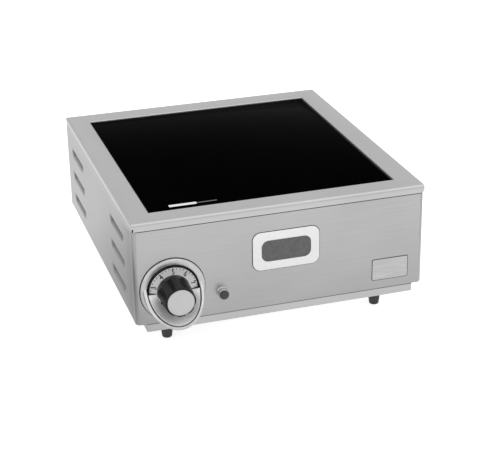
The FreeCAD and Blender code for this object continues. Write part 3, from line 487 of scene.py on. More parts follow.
zinc, tree, shader, place = start_finish("zinc_plate", metallic=1.0)
spangle = tree.nodes.new("ShaderNodeTexVoronoi")
spangle.inputs["Scale"].default_value = 260
tree.links.new(place, spangle.inputs["Vector"])
cells = spangle.outputs["Distance"]
colour_between(tree, shader, cells, (0.46, 0.47, 0.48), (0.60, 0.61, 0.62), edges=(0.1, 0.8))
roughness_between(tree, shader, cells, 0.34, 0.50)
print("made", [finish.name for finish in (satin, cup_satin, dial_metal, cap_metal, brass, zinc)])

# %% [markdown]
# ## Glass, plastic and rubber
# The cooking plate is opaque black glass-ceramic, so it needs no transmission: a very dark base and a
# low specular level give the deep black of the photograph, and a faint cloud in the roughness stands
# for wiping marks. The knob is moulded phenolic with a fine orange peel, and its colour is painted
# lighter on the lobes and darker in its flutes, as painted shade where little light gets in. The feet
# are matt rubber with a dusty bloom.

# %% Black glass, phenolic, rubber and lens
black_glass = grained("glass_ceramic_black", 0.0006, 0.0012, 14, (0.04, 0.12), specular=0.0004,
                      stretch=(1, 0.35, 1))
knob_plastic = grained("phenolic_black", 0.013, 0.021, 900, (0.26, 0.40), specular=0.07, bump=(0.12, 0.00005))
# Painted shade and light: the flute attribute paints the colour darker in the flutes and lighter on the
# lobes.
scale_colour(knob_plastic, attribute(knob_plastic, "flute_shade"), (0.0, 0.6), (1.5, 0.05))
rubber = grained("foot_rubber", 0.060, 0.100, 420, (0.55, 0.75), specular=0.25, bump=(0.25, 0.0001))
silicone = grained("silicone_black", 0.010, 0.022, 300, (0.5, 0.7), specular=0.2)
lens_plastic = grained("lens_dark", 0.024, 0.038, 500, (0.18, 0.28))
print("made", [finish.name for finish in (black_glass, knob_plastic, rubber, silicone, lens_plastic)])

# %% [markdown]
# ## Enamel, foil and the finishes inside the case
# The badge is a bare enamelled plate and the rating plate is bare foil. Inside, the element sits in
# pressed ceramic fibre, the ribbon is oxidised alloy, the switch is dull phenolic, and the wires have a
# glass braid. Few of these show in the photograph, but the part can be opened, so each one still gets
# its own grain.


# %% Enamel, foil, fibre, ceramic and covers
def moulded(name, low, high, scale, rough, specular=0.3, depth=0.00006, **more):
    """A grained finish with a soft bump, whose roughness stays near one value."""
    return grained(name, low, high, scale, (rough - 0.06, rough + 0.06), specular=specular,
                   bump=(0.2, depth), **more)


enamel = moulded("enamel_white", 0.97, 1.0, 300, 0.30, specular=0.5)
enamel_grey = moulded("enamel_grey", 0.11, 0.15, 300, 0.35)
foil = moulded("foil_plate", 0.40, 0.50, 700, 0.34, metallic=1.0, stretch=(0.05, 1, 1))
mark_ink = moulded("mark_ink", 0.016, 0.030, 500, 0.5)
print_white = moulded("print_white", 0.84, 0.95, 500, 0.45)
fibre = moulded("ceramic_fibre", (0.72, 0.70, 0.65), (0.88, 0.87, 0.83), 240, 0.85, depth=0.0003)
ribbon = moulded("ribbon_alloy", (0.20, 0.18, 0.17), (0.34, 0.31, 0.30), 380, 0.5, metallic=0.8)
quartz = moulded("quartz_tube", (0.70, 0.71, 0.73), (0.82, 0.83, 0.85), 200, 0.15)
steatite = moulded("steatite", (0.78, 0.77, 0.72), (0.90, 0.89, 0.85), 320, 0.5)
phenolic = moulded("phenolic_brown", (0.045, 0.036, 0.030), (0.075, 0.062, 0.052), 420, 0.45)
nylon = moulded("nylon_black", 0.025, 0.045, 600, 0.45)
braid = moulded("wire_braid", (0.62, 0.60, 0.54), (0.84, 0.82, 0.76), 1500, 0.7)
print("made the small finishes")

# %% [markdown]
# ## Finishes on the CAD nodes
# The record gives every CAD node a material slot. One table turns slots into finishes. The pan alone
# then takes the lighter steel with the painted shade along its joint, and the side panels the darker,
# shaded steel whose grain runs along the depth.

# %% Give every CAD node its finish
finish_of_slot = {
    "stainless": steel_across, "plated_steel": zinc, "black_glass": black_glass, "silicone": silicone,
    "foot_rubber": rubber, "chrome": satin, "dial_metal": dial_metal, "knob_plastic": knob_plastic,
    "cap_metal": cap_metal, "lens_plastic": lens_plastic, "badge_enamel": enamel, "label_foil": foil,
    "insulation": fibre, "ribbon_alloy": ribbon, "rod_quartz": quartz, "ceramic": steatite,
    "phenolic": phenolic, "brass": brass, "bushing_nylon": nylon, "wire_cover": braid,
}
finish_of_node = {"bottom_pan": pan_steel_painted_light_shade, "left_side_panel": steel_along_painted_shade, "right_side_panel": steel_along_painted_shade}
for subpart in frame["record"]["subparts"]:
    node = nodes[subpart["node"]]
    node.data.materials.clear()
    by_slot = finish_of_slot[subpart["material_slot"]]
    node.data.materials.append(finish_of_node.get(subpart["node"], by_slot))

# %% [markdown]
# ## Top frame
# The top is one folded sheet: a rounded nose along the front, tighter folds on the other three sides,
# and a recess that the glass lies in. The CAD frame has one radius all round. Here a box is bevelled
# edge by edge, its top face is inset and moved to the recess's outline, and that face is extruded down.
# Solidify gives the shell its wall, and small cutters open the corners, where the bent lips of real
# sheet do not quite meet.


# %% Helpers: select edges or faces by their place
def start_selection(piece, kind):
    """Object mode, with edges or faces ready to be selected and none selected yet."""
    pick(piece)
    bpy.ops.object.mode_set(mode="EDIT")
    bpy.ops.mesh.select_mode(type=kind)
    bpy.ops.mesh.select_all(action="DESELECT")
    bpy.ops.object.mode_set(mode="OBJECT")


def edges_where(piece, wanted):
    """Edit mode, with the edges selected whose two ends are wanted together."""
    start_selection(piece, "EDGE")
    for edge in piece.data.edges:
        edge.select = wanted(*(piece.data.vertices[v].co for v in edge.vertices))
    bpy.ops.object.mode_set(mode="EDIT")


def faces_where(piece, wanted):
    """Edit mode, with the faces selected whose middle and normal are wanted."""
    start_selection(piece, "FACE")
    for face in piece.data.polygons:
        face.select = wanted(face.center, face.normal)
    bpy.ops.object.mode_set(mode="EDIT")


print("place helpers ready")

# %% Box, nose and folds
NOSE, FOLD, INNER_FOLD, TOP_WALL = 3.5, 2.0, 1.6, 1.2
NEAR = 0.02 * MM
UPWARDS = 0.999
top_low, top_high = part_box("top_frame")
top = add_box("folded_top", top_high - top_low, (top_low + top_high) / 2)
edges_where(top, lambda a, b: min(a.z, b.z) > top_high.z - NEAR and max(a.y, b.y) < top_low.y + NEAR)
bpy.ops.mesh.bevel(offset=NOSE * MM, segments=10)
edges_where(top, lambda a, b: min(a.z, b.z) > top_high.z - NEAR
            and (abs(a.x - b.x) < NEAR or min(a.y, b.y) > top_high.y - NEAR))
bpy.ops.mesh.bevel(offset=FOLD * MM, segments=4)
print("folded top has", len(top.data.polygons), "faces before its recess")

# %% Recess for the glass
FIRST_INSET, RECESS_DEPTH = 20, 6.8
rim_low, rim_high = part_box("glass_gasket")
faces_where(top, lambda middle, normal: normal.z > UPWARDS and middle.z > top_high.z - NEAR)
bpy.ops.mesh.inset(thickness=FIRST_INSET * MM)
bpy.ops.object.mode_set(mode="OBJECT")
for face in top.data.polygons:
    if face.select:
        for number in face.vertices:
            corner = top.data.vertices[number].co
            corner.x = rim_low.x if corner.x < 0 else rim_high.x
            corner.y = rim_low.y if corner.y < 0 else rim_high.y
bpy.ops.object.mode_set(mode="EDIT")
bpy.ops.mesh.extrude_region_move(TRANSFORM_OT_translate={"value": (0, 0, -RECESS_DEPTH * MM)})
bpy.ops.mesh.delete(type="FACE")
faces_where(top, lambda middle, normal: normal.z < -UPWARDS)
bpy.ops.mesh.delete(type="FACE")
bpy.ops.mesh.select_all(action="SELECT")
bpy.ops.mesh.remove_doubles(threshold=DOUBLES)
edges_where(top, lambda a, b: min(a.z, b.z) > top_high.z - NEAR
            and min(a.x, b.x) > rim_low.x - NEAR and max(a.x, b.x) < rim_high.x + NEAR
            and min(a.y, b.y) > rim_low.y - NEAR and max(a.y, b.y) < rim_high.y + NEAR)
bpy.ops.mesh.bevel(offset=INNER_FOLD * MM, segments=5)
thicken(top, TOP_WALL)
print("folded top is a shell of", len(top.data.polygons), "faces")

# %% Corner reliefs
RELIEF, RELIEF_RISE, RELIEF_INSET = 3.1, 8.0, 0.6
MERGE, SLIVER = 0.03, 0.01
relief_size = (RELIEF * MM, RELIEF * MM, RELIEF_RISE * MM)
for side in (-1, 1):
    for end, inwards in ((top_low.y, 1), (top_high.y, -1)):
        middle = (side * (top_high.x - RELIEF_INSET * MM), end + inwards * RELIEF_INSET * MM, top_low.z)
        cut_away(top, add_box("relief", relief_size, middle))
edit_all(top)
bpy.ops.mesh.remove_doubles(threshold=MERGE * MM)
bpy.ops.mesh.dissolve_degenerate(threshold=SLIVER * MM)
bpy.ops.object.mode_set(mode="OBJECT")
settle(top, "case", steel_top_painted_highlight, "stainless", "top_frame", sharp=30)

# %% [markdown]
# ## Side sheets with louvres
# Each side has two columns of three louvres, pressed inwards, hinged at their lower edge and open at
# the top. The CAD louvre has square ends. A press leaves round ones, so each sheet starts as a grid
# whose rows and columns are close together at the louvres only, and the points there are pushed in. One
# more row or column just outside each louvre keeps its shading off the flat sheet. The outer rows bend
# into the folds.

# %% Rows and columns of a side sheet
LOUVRE_RISE, LOUVRE_DEPTH, LOUVRE_ROUND = 14.0, 8.0, 10.0
FIRST_LOUVRE, LOUVRE_PITCH, LOUVRE_LENGTH = 31.0, 34.2, 78
FRONT_MARGIN, REAR_MARGIN = 50, 35
RISE_STEPS, LENGTH_STEPS = 16, 52
LOUVRE_EDGE, ROW_SUPPORT, COLUMN_SUPPORT = 0.03, 0.5, 0.8
SKIRT_GAP, SIDE_RISE, FRONT_LAP = 1.6, 0.7, 8.4
LOWER_FOLD = ((0.0, 22.0), (0.0, 1.4), (0.4, 0.4), (1.4, 0.0))  # up, inward
UPPER_FOLD = ((-2.8, 0.0), (-2.5, 0.0), (-0.5, 0.05), (-0.1, 0.3), (0.0, 0.6), (0.0, 5.0))
sheet_low, sheet_high = (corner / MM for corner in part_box("left_side_panel"))
sheet_top = top_low.z / MM - SKIRT_GAP
side_top = sheet_top + SIDE_RISE
louvre_tops = [sheet_low.z + FIRST_LOUVRE + LOUVRE_PITCH * row for row in range(3)]
run_start, run_end = top_low.y / MM + FRONT_MARGIN, top_high.y / MM - REAR_MARGIN
louvre_runs = [(run_start, run_start + LOUVRE_LENGTH), (run_end - LOUVRE_LENGTH, run_end)]

rows = [(sheet_low.z + up, inward) for up, inward in LOWER_FOLD]
for louvre_top in louvre_tops:
    rows += [(louvre_top - LOUVRE_RISE * (1 - step / RISE_STEPS), 0.0) for step in range(-1, RISE_STEPS + 1)]
    rows += [(louvre_top + LOUVRE_EDGE, 0.0), (louvre_top + ROW_SUPPORT, 0.0)]
rows += [(side_top + up, inward) for up, inward in UPPER_FOLD]
columns = [sheet_low.y + FRONT_LAP]
for start, end in louvre_runs:
    inside = [start + (end - start) * step / LENGTH_STEPS for step in range(LENGTH_STEPS + 1)]
    columns += [start - COLUMN_SUPPORT] + inside + [end + COLUMN_SUPPORT]
columns.append(sheet_high.y)
print("side sheet:", len(rows), "rows and", len(columns), "columns, louvres at", louvre_runs)


# %% How deep the press went, and the painted shade and highlight taken from it
LOUVRE_SHADE_CURVE = 0.38
EDGE_HIGHLIGHT, FRONT_COLUMN_SHADE = -0.45, 0.22
HIGHLIGHT_BAND, FOLDED = 2.6, 0.2


def louvre_depth(along, height):
    """How far in a point of the sheet is pressed, in millimetres."""
    for start, end in louvre_runs:
        for louvre_top in louvre_tops:
            share = min(along - start, end - along) / LOUVRE_ROUND
            if share <= 0 or not louvre_top - LOUVRE_RISE < height < louvre_top + LOUVRE_EDGE / 2:
                continue
            full = math.sqrt(1 - (1 - min(share, 1)) ** 2)
            up = (height - louvre_top + LOUVRE_RISE * full) / (LOUVRE_RISE * full)
            if up > 0:
                return LOUVRE_DEPTH * full * up * up * (3 - 2 * up)
    return 0.0


def side_press(along, row):
    """Painted shade high in the louvres, top fold and front column; a painted highlight low below the fold.
    """
    height, inward = row
    if inward > FOLDED and height > louvre_tops[0]:
        return 1.0
    edge_paint = 0.0
    if height > side_top - HIGHLIGHT_BAND:
        edge_paint = EDGE_HIGHLIGHT
    elif along == columns[0]:
        edge_paint = FRONT_COLUMN_SHADE
    return edge_paint + (louvre_depth(along, height) / LOUVRE_DEPTH) ** LOUVRE_SHADE_CURVE


print("deepest point of a louvre:", max(louvre_depth(along, louvre_tops[0]) for along in columns), "mm")

# %% Press both side sheets
SIDE_WALL = 0.8


def press_side_sheet(node, side):
    """The sheet of one side, -1 for the left and 1 for the right."""
    def on_side(along, row):
        height, inward = row
        return -side * (sheet_low.x + inward + louvre_depth(along, height)), along, height

    sheet = bent_grid(node.replace("panel", "sheet"), columns, rows, on_side, side_press)
    edit_all(sheet)
    bpy.ops.mesh.normals_make_consistent(inside=False)
    bpy.ops.object.mode_set(mode="OBJECT")
    if side * sum(face.normal.x * face.area for face in sheet.data.polygons) < 0:
        edit_all(sheet)
        bpy.ops.mesh.flip_normals()
        bpy.ops.object.mode_set(mode="OBJECT")
    thicken(sheet, SIDE_WALL)
    settle(sheet, "case", steel_along_painted_shade, "stainless", node, sharp=50)


press_side_sheet("left_side_panel", -1)
press_side_sheet("right_side_panel", 1)

# %% [markdown]
# ## Front sheet
# The front is one sheet that bends round both vertical corners. The CAD bend is tight. Here it is as
# wide as on the real case, and its colour on the round corners is painted from a little lighter at the
# foot to darker at the top, as painted shade for the dark upright band there. A grid follows the sheet's
# outline seen from above, and its first and last rows are the folded edges. Two drills then cut the holes
# for the switch and the lamp.

# %% Front sheet with round corners
CORNER, FRONT_WALL = 6.5, 0.8
FRONT_LOWER_FOLD = ((0.0, 2.5), (0.0, 0.6), (0.2, 0.15), (0.8, 0.0))  # up, inward
FRONT_UPPER_FOLD = ((0.0, 0.0), (0.6, 0.2), (0.8, 0.6), (0.8, 4.0))
front_low, front_high = (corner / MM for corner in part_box("front_panel"))
bend = [math.radians(angle) for angle in range(0, 91, 10)]
outline = [(front_low.x, front_high.y)]
outline += [(front_low.x + CORNER * (1 - math.cos(angle)), front_low.y + CORNER * (1 - math.sin(angle)))
            for angle in bend]
outline += [(-x, y) for x, y in reversed(outline)]
front_rows = [(front_low.z + up, inward) for up, inward in FRONT_LOWER_FOLD]
front_rows += [(sheet_top + up, inward) for up, inward in FRONT_UPPER_FOLD]


def on_bend(corner, row):
    (x, y), (height, inward) = corner, row
    return x * (1 + inward / front_low.x), y + (inward if y < front_high.y else 0), height


front = bent_grid("front_sheet", outline, front_rows, on_bend)
faces_out = sum(face.normal.y * face.area for face in front.data.polygons) < 0
thicken(front, FRONT_WALL, offset=-1 if faces_out else 1)
print("front sheet bends over", len(outline), "columns")

# %% Holes for the switch and the lamp, and the painted shade on the corners
SWITCH_HOLE, LAMP_HOLE, DRILL = 5.0, 4.95, 20
SHADE_AT_FOOT, SHADE_RISE, BENT_SHARE = -0.12, 0.43, 0.7
for middle, radius in ((knob_centre, SWITCH_HOLE), (lamp_centre, LAMP_HOLE)):
    clear_selection()
    bpy.ops.mesh.primitive_cylinder_add(vertices=48, radius=radius * MM, depth=DRILL * MM, location=middle,
                                        rotation=(math.pi / 2, 0, 0))
    cut_away(front, bpy.context.object)
# Painted shade: on the bent corners the attribute paints the steel a little lighter at the foot and darker
# towards the top.
painted_light = front.data.attributes.new("painted_light", "FLOAT", "POINT")
for point in front.data.vertices:
    turned = (front_high.x - abs(point.co.x) / MM) / CORNER
    raised = (point.co.z / MM - front_low.z) / (front_high.z - front_low.z)
    if turned < BENT_SHARE:
        painted_light.data[point.index].value = SHADE_AT_FOOT + SHADE_RISE * raised
settle(front, "case", steel_front_painted_shade, "stainless", "front_panel", sharp=40)

# %% [markdown]
# ## Guard ring
# A low satin collar lies round the knob. From just above the knob's axis down, a thin wall rises from
# it into a lip that keeps a hand or a pan from turning the knob, and inside the lip a cup covers the
# lower half of the dial. The collar is turned. The lip and the cup are grids bent round the axis: one
# side of the grid goes round the knob and the other goes along the section, so the lip's height can
# follow a sloping cut and keep a rounded rim.

# %% Collar
at_knob = Matrix.Translation(knob_centre) @ FACING_FRONT
collar_rings = [(32.8, 0.0), (40.4, 0.0), (40.4, 2.3), (40.1, 3.0), (39.4, 3.4), (38.6, 3.5), (33.8, 3.5),
                (33.1, 3.3), (32.8, 2.8), (32.8, 0.0)]
collar = turn_profile("guard_collar", collar_rings, segments=160)
settle(collar, "case", satin, "chrome", "knob_bezel", spot=at_knob, sharp=40)


# %% Helpers: the slope of the lip, and a ring bent round the knob's lower half
REACH, COLLAR, START, RIM = 40.0, 3.5, 6.0, 1.1
LIP_OUT, LIP_IN, LIP_FOOT, LIP_FLARE = 36.8, 32.9, 1.0, 0.6
RING_STEPS = 120
slope = (REACH - COLLAR) / (START + LIP_OUT)


def lip_top(angle):
    """The lip's height above the panel, at an angle from the right through the top."""
    return COLLAR + slope * (START - LIP_OUT * math.sin(angle))


def half_ring(name, section, past_level):
    """A grid round the lower half and a bit past level, whose section gives (radius, height) at an angle."""
    sweep = math.pi + 2 * past_level
    angles = [1.5 * math.pi + sweep * (step / RING_STEPS - 0.5) for step in range(RING_STEPS + 1)]

    def on_ring(angle, number):
        radius, height = section(angle)[number]
        return radius * math.cos(angle), radius * math.sin(angle), height

    return bent_grid(name, angles, range(len(section(0))), on_ring)


print("the lip starts", START, "mm above the axis and reaches", REACH, "mm out")


# %% Lip with a rounded rim
def lip_section(angle):
    top = lip_top(angle) - RIM
    middle = (LIP_OUT + LIP_IN) / 2
    width = (LIP_OUT - LIP_IN) / 2
    turns = [math.radians(a) for a in range(0, 181, 20)]
    walls = [0.0, 0.25, 0.5, 0.75]
    outer = [(LIP_OUT + LIP_FLARE * (1 - w), LIP_FOOT + (top - LIP_FOOT) * w) for w in walls]
    inner = [(LIP_IN, LIP_FOOT + (top - LIP_FOOT) * w) for w in reversed(walls)]
    rim = [(middle + width * math.cos(a), top + RIM * math.sin(a)) for a in turns]
    return outer + rim + inner + outer[:1]


lip = half_ring("guard_lip", lip_section, past_level=math.asin(START / LIP_OUT))
edit_all(lip)
close_mesh()
settle(lip, "case", satin, "chrome", spot=at_knob, sharp=40)

# %% Cup inside the lip
CUP_BORE, CUP_FLOOR, CUP_GAP, CUP_WALL = 21.9, 9.1, 1.1, 0.7
CUP_STEPS, CUP_CURVE = 12, 1.4
BELOW_LIP, LEAST_RISE = 2.2, -0.7
cup_width = LIP_IN - CUP_GAP - CUP_BORE


def cup_section(angle):
    rise = max(lip_top(angle) - BELOW_LIP - CUP_FLOOR, LEAST_RISE)
    steps = [step / CUP_STEPS for step in range(CUP_STEPS + 1)]
    return [(CUP_BORE + cup_width * step, CUP_FLOOR + rise * step ** CUP_CURVE) for step in steps]


cup = half_ring("guard_cup", cup_section, past_level=0.0)
thicken(cup, CUP_WALL)
settle(cup, "case", cup_satin, "chrome", spot=at_knob, sharp=40)

# %% Black gasket under the collar, whose rim paints a shade line round it
# The gasket is real; its rim stands out past the collar's edge so that its black draws a painted shade line
# round the collar.
gasket_shade_line_rings = [(30.0, 0.0), (41.0, 0.0), (41.3, 0.15), (41.3, 0.35), (41.0, 0.5), (30.0, 0.5), (30.0, 0.0)]
gasket_and_shade_line = turn_profile("guard_gasket_and_shade_line", gasket_shade_line_rings, segments=128)
settle(gasket_and_shade_line, "case", silicone, "silicone", "bezel_gasket", spot=at_knob)

# %% [markdown]
# ## Dial, numbers and ticks
# Behind the grip turns a bright dished dial with dark marks. The dial is a turned disc with a rolled
# edge. Plain numbers and ticks are laid on its sloping face: text is turned into mesh, tilted to the
# slope and joined into one piece, so that the marks move with the knob and look the same from any side.

# %% Dial disc
SLOPE_IN, SLOPE_OUT = (22.3, 7.92), (29.7, 5.75)  # radius, height
dial_rings = [(5.0, 6.8), (22.0, 6.8), (29.0, 4.5), (29.6, 4.4), (30.1, 4.55), (30.3, 5.0), (30.15, 5.45),
              SLOPE_OUT, SLOPE_IN, (21.7, 8.0), (5.0, 8.0), (5.0, 6.8)]
dial = turn_profile("dial_disc", dial_rings, segments=128)
settle(dial, "knob", dial_metal, "dial_metal", "dial_skirt", spot=at_knob, sharp=50)

# %% Helper: a place on the dial's slope
FIRST_MARK, NUMBER_STEP, TICK_STEP = -144, 36, 9  # degrees, clockwise from the top
dial_slope = math.atan2(SLOPE_OUT[1] - SLOPE_IN[1], SLOPE_OUT[0] - SLOPE_IN[0])


def lay_on_dial(mark, degrees, radius):
    """The mark goes onto the sloping face, at an angle clockwise from the top."""
    height = SLOPE_IN[1] + (radius - SLOPE_IN[0]) * math.tan(dial_slope)
    spot = Matrix.Translation((0, radius * MM, height * MM)) @ Matrix.Rotation(dial_slope, 4, "X")
    mark.matrix_world = at_knob @ Matrix.Rotation(-math.radians(degrees), 4, "Z") @ spot


print("the dial slopes by", round(math.degrees(dial_slope), 1), "degrees")

# %% Numbers
NUMBER_SIZE, NUMBER_BOLD, NUMBER_RAISE, NUMBER_RADIUS = 8.4, 0.15, 0.06, 25.2
marks = []
for number in range(1, 10):
    clear_selection()
    bpy.ops.object.text_add()
    figure = bpy.context.object
    figure.data.body = str(number)
    figure.data.align_x, figure.data.align_y = "CENTER", "CENTER"
    figure.data.size = NUMBER_SIZE * MM
    figure.data.offset = NUMBER_BOLD * MM
    figure.data.extrude = NUMBER_RAISE * MM
    figure.data.resolution_u = 5
    bpy.ops.object.convert(target="MESH")
    edit_all(figure)
    close_mesh(sides=4)
    lay_on_dial(figure, FIRST_MARK + NUMBER_STEP * (number - 1), NUMBER_RADIUS)
    marks.append(figure)
print("made", len(marks), "numbers")

# %% Ticks
TICKS, TICK_RADIUS, TICK_EDGE = 33, 29.0, 0.05
TICK_WIDTH, LONG_TICK, SHORT_TICK, TICK_RAISE = 1.3, 1.8, 1.2, 0.12
for step in range(TICKS):
    length = SHORT_TICK if step % 4 else LONG_TICK
    tick = add_box("tick", (TICK_WIDTH * MM, length * MM, TICK_RAISE * MM))
    edit_all(tick)
    bpy.ops.mesh.bevel(offset=TICK_EDGE * MM, segments=1)
    bpy.ops.object.mode_set(mode="OBJECT")
    lay_on_dial(tick, FIRST_MARK + TICK_STEP * step, TICK_RADIUS)
    marks.append(tick)
settle(join("dial_marks", marks), "knob", mark_ink, "knob_plastic")

# %% [markdown]
# ## Fluted grip and cap
# The grip is a tapered black moulding with eight flutes for the fingers. It is turned with many rows
# first. Then each point is pulled in to the scallop's circle where that lies inside the turned face,
# with a soft corner between the two, as a mould has. How far it was pulled is kept as an attribute, from
# which the finish paints shade into the flutes. The bright cap is a thin spun disc let into the grip's
# end, so a black rim shows round it.

# %% Turn the grip
GRIP_FOOT, GRIP_END, GRIP_ROWS = (21.0, 9.0), (19.0, 38.6), 12  # radius, height
END_ROUND = 1.6
quarter = [math.radians(angle) for angle in (22.5, 45, 67.5, 90)]
taper, rise = GRIP_END[0] - GRIP_FOOT[0], GRIP_END[1] - GRIP_FOOT[1]
grip_rows = [(20.6, 8.1), (21.0, 8.5), GRIP_FOOT]
grip_rows += [(GRIP_FOOT[0] + taper * row / GRIP_ROWS, GRIP_FOOT[1] + rise * row / GRIP_ROWS)
              for row in range(1, GRIP_ROWS + 1)]
grip_rows += [(GRIP_END[0] - END_ROUND * (1 - math.cos(a)), GRIP_END[1] + END_ROUND * math.sin(a))
              for a in quarter]
grip_rows += [(16.95, 40.2), (16.75, 40.0), (16.75, 39.0)]
grip = turn_profile("fluted_grip", grip_rows, segments=240)
print("turned grip has", len(grip.data.polygons), "faces")

# %% Press the scallops
SCALLOPS, SCALLOP_RADIUS, SCALLOP_FLOOR = 8, 5.0, 17.2
SOFT_CORNER, CORNER_LIFT, RECESS_RADIUS = 0.35, 0.1, 16.9
distance = SCALLOP_FLOOR + SCALLOP_RADIUS
pitch = 2 * math.pi / SCALLOPS
flute_shade = grip.data.attributes.new("flute_shade", "FLOAT", "POINT")
for point in grip.data.vertices:
    across, up = point.co.x / MM, point.co.y / MM
    radius = math.hypot(across, up)
    off = math.atan2(up, across) % pitch - pitch / 2
    reach = SCALLOP_RADIUS ** 2 - (distance * math.sin(off)) ** 2
    if radius < RECESS_RADIUS or reach <= 0:
        continue
    face = distance * math.cos(off) - math.sqrt(reach)
    pulled = (face + radius - math.hypot(face - radius, SOFT_CORNER)) / 2 + CORNER_LIFT
    scale = min(pulled, radius) / radius
    flute_shade.data[point.index].value = (1 - scale) * radius / (GRIP_FOOT[0] - SCALLOP_FLOOR)
    point.co.x *= scale
    point.co.y *= scale
settle(grip, "knob", knob_plastic, "knob_plastic", "knob_grip", spot=at_knob, sharp=50)

# %% Spun cap
cap_rings = [(16.6, 39.0), (16.6, 40.5), (16.45, 40.8), (16.1, 40.95), (12.0, 41.0), (6.0, 41.0), (0.0, 41.0)]
cap = turn_profile("cap_disc", cap_rings, segments=96)
settle(cap, "knob", cap_metal, "cap_metal", "knob_cap", spot=at_knob, sharp=50)

# %% [markdown]
# ## Pilot lamp
# The lamp is a short satin barrel with a dark lens pushed into it. Both are turned: the barrel gets a
# rolled front edge, and the lens a shallow dome, which a flat CAD cylinder lacks and which catches a
# soft highlight.

# %% Lamp barrel and lens
at_lamp = Matrix.Translation(lamp_centre) @ FACING_FRONT
barrel_rings = [(4.9, 0.0), (7.6, 0.0), (7.6, 0.7), (7.2, 1.1), (6.8, 1.3), (6.6, 6.6), (6.4, 7.2),
                (6.0, 7.5), (4.9, 7.4), (4.9, 0.0)]
barrel = turn_profile("lamp_barrel", barrel_rings, segments=64)
settle(barrel, "case", satin, "chrome", "pilot_barrel", spot=at_lamp, sharp=45)
lens_rings = [(4.7, 4.0), (4.7, 7.5), (5.9, 7.55), (6.0, 7.8), (6.0, 9.2), (5.7, 10.0), (5.0, 10.5),
              (3.6, 10.85), (1.8, 11.0), (0.0, 11.03)]
lens = turn_profile("lamp_lens", lens_rings, segments=64)
settle(lens, "case", lens_plastic, "lens_plastic", "pilot_lens", spot=at_lamp, sharp=45)

# %% [markdown]
# ## Feet
# Four tapered rubber feet carry the pan. One foot is turned with a rounded tip and a small moulded
# shoulder, then copied to the four places with its own mesh each time.

# %% Turn one foot and copy it
POLE = 0.0001
foot_rings = [(POLE, 0.0), (4.6, 0.0), (5.5, 0.25), (6.1, 0.9), (6.4, 1.8), (9.7, 28.0), (10.3, 30.4),
              (10.4, 32.0), (POLE, 32.0)]
foot = turn_profile("rubber_foot", foot_rings, segments=48)
for name in ("foot_front_left", "foot_front_right", "foot_rear_left", "foot_rear_right"):
    low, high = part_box(name)
    spot = Matrix.Translation(((low.x + high.x) / 2, (low.y + high.y) / 2, 0))
    settle(copy_of(foot, "rubber_" + name), "case", rubber, "foot_rubber", name, spot=spot, sharp=45)
bpy.data.objects.remove(foot)

# %% [markdown]
# ## Badge and rating plate
# The front carries two plates, both left bare here. The badge is a white enamelled plate with a plain
# grey field. The small one is foil with a rolled edge. Each starts as a plane: its corners are rounded
# by a vertex bevel, it is extruded to its thickness, and small insets round the edge. An inset wider
# than the corner's radius would fold over itself, so the grey field is a plate of its own. A thin dark
# plate, a little larger, behind each one draws a painted shadow line round it.


# %% Helpers: a rounded plate, and its size and spot
def rounded_plate(name, size, corner, thick, insets=()):
    """A plate in millimetres. Each inset gives the front a border and moves what is inside out or in."""
    clear_selection()
    bpy.ops.mesh.primitive_plane_add(size=1)
    plate = bpy.context.object
    plate.name = plate.data.name = name
    plate.scale = (size[0] * MM, size[1] * MM, 1)
    apply_place()
    edit_all(plate)
    bpy.ops.mesh.bevel(offset=corner * MM, segments=10, affect="VERTICES")
    bpy.ops.mesh.select_all(action="SELECT")
    bpy.ops.mesh.extrude_region_move(TRANSFORM_OT_translate={"value": (0, 0, thick * MM)})
    for border, lift in insets:
        bpy.ops.mesh.inset(thickness=border * MM, depth=0)
        bpy.ops.transform.translate(value=(0, 0, lift * MM))
    close_mesh()
    return plate


def plate_size(node, margin=0.0):
    """The width and height of a CAD plate with a margin all round, in millimetres."""
    low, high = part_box(node)
    return (high.x - low.x) / MM + 2 * margin, (high.z - low.z) / MM + 2 * margin


def plate_spot(node, lift):
    """The middle of a plate's back, moved out from the panel by a lift in millimetres."""
    return Matrix.Translation(on_front(node) - Vector((0, lift * MM, 0))) @ FACING_FRONT


print("badge", plate_size("badge_plaque"), "rating plate", plate_size("label_plate"))

# %% Badge on a dark plate that draws its painted shadow line, with a grey field
SHADOW_LINE_MARGIN, FIELD_MARGIN = 0.8, -11
shadow_line_plate = rounded_plate("badge_shadow_line", plate_size("badge_plaque", SHADOW_LINE_MARGIN), 10.8, 0.3)
settle(shadow_line_plate, "case", silicone, "silicone", spot=plate_spot("badge_plaque", 0))
badge = rounded_plate("badge_plate", plate_size("badge_plaque"), 10, 0.9, [(0.4, 0.25), (0.6, 0.1)])
settle(badge, "case", enamel, "badge_enamel", "badge_plaque", spot=plate_spot("badge_plaque", 0.2))
field = rounded_plate("badge_field", plate_size("badge_plaque", FIELD_MARGIN), 9, 0.2, [(0.3, 0.1)])
settle(field, "case", enamel_grey, "badge_enamel", spot=plate_spot("badge_plaque", 1.4))

# %% Rating plate with a rolled edge
RATING_SHADOW_LINE_MARGIN = 0.75
# A thin dark plate behind the rating plate draws a painted shadow line round it.
shadow_line_plate = rounded_plate("rating_shadow_line", plate_size("label_plate", RATING_SHADOW_LINE_MARGIN), 2.2, 0.2)
settle(shadow_line_plate, "case", silicone, "silicone", spot=plate_spot("label_plate", 0))
rolled_edge = [(0.25, 0.12), (0.5, 0), (0.25, -0.1)]
plate = rounded_plate("rating_plate", plate_size("label_plate"), 1.5, 0.25, rolled_edge)
settle(plate, "case", foil, "label_foil", "label_plate", spot=plate_spot("label_plate", 0.15))

# %% [markdown]
# ## Screws on the rear
# The rear sheet is held by four screws. One pan head is turned, and a cross is cut into it with two
# thin boxes. The head is then copied to the places that the CAD group gives.

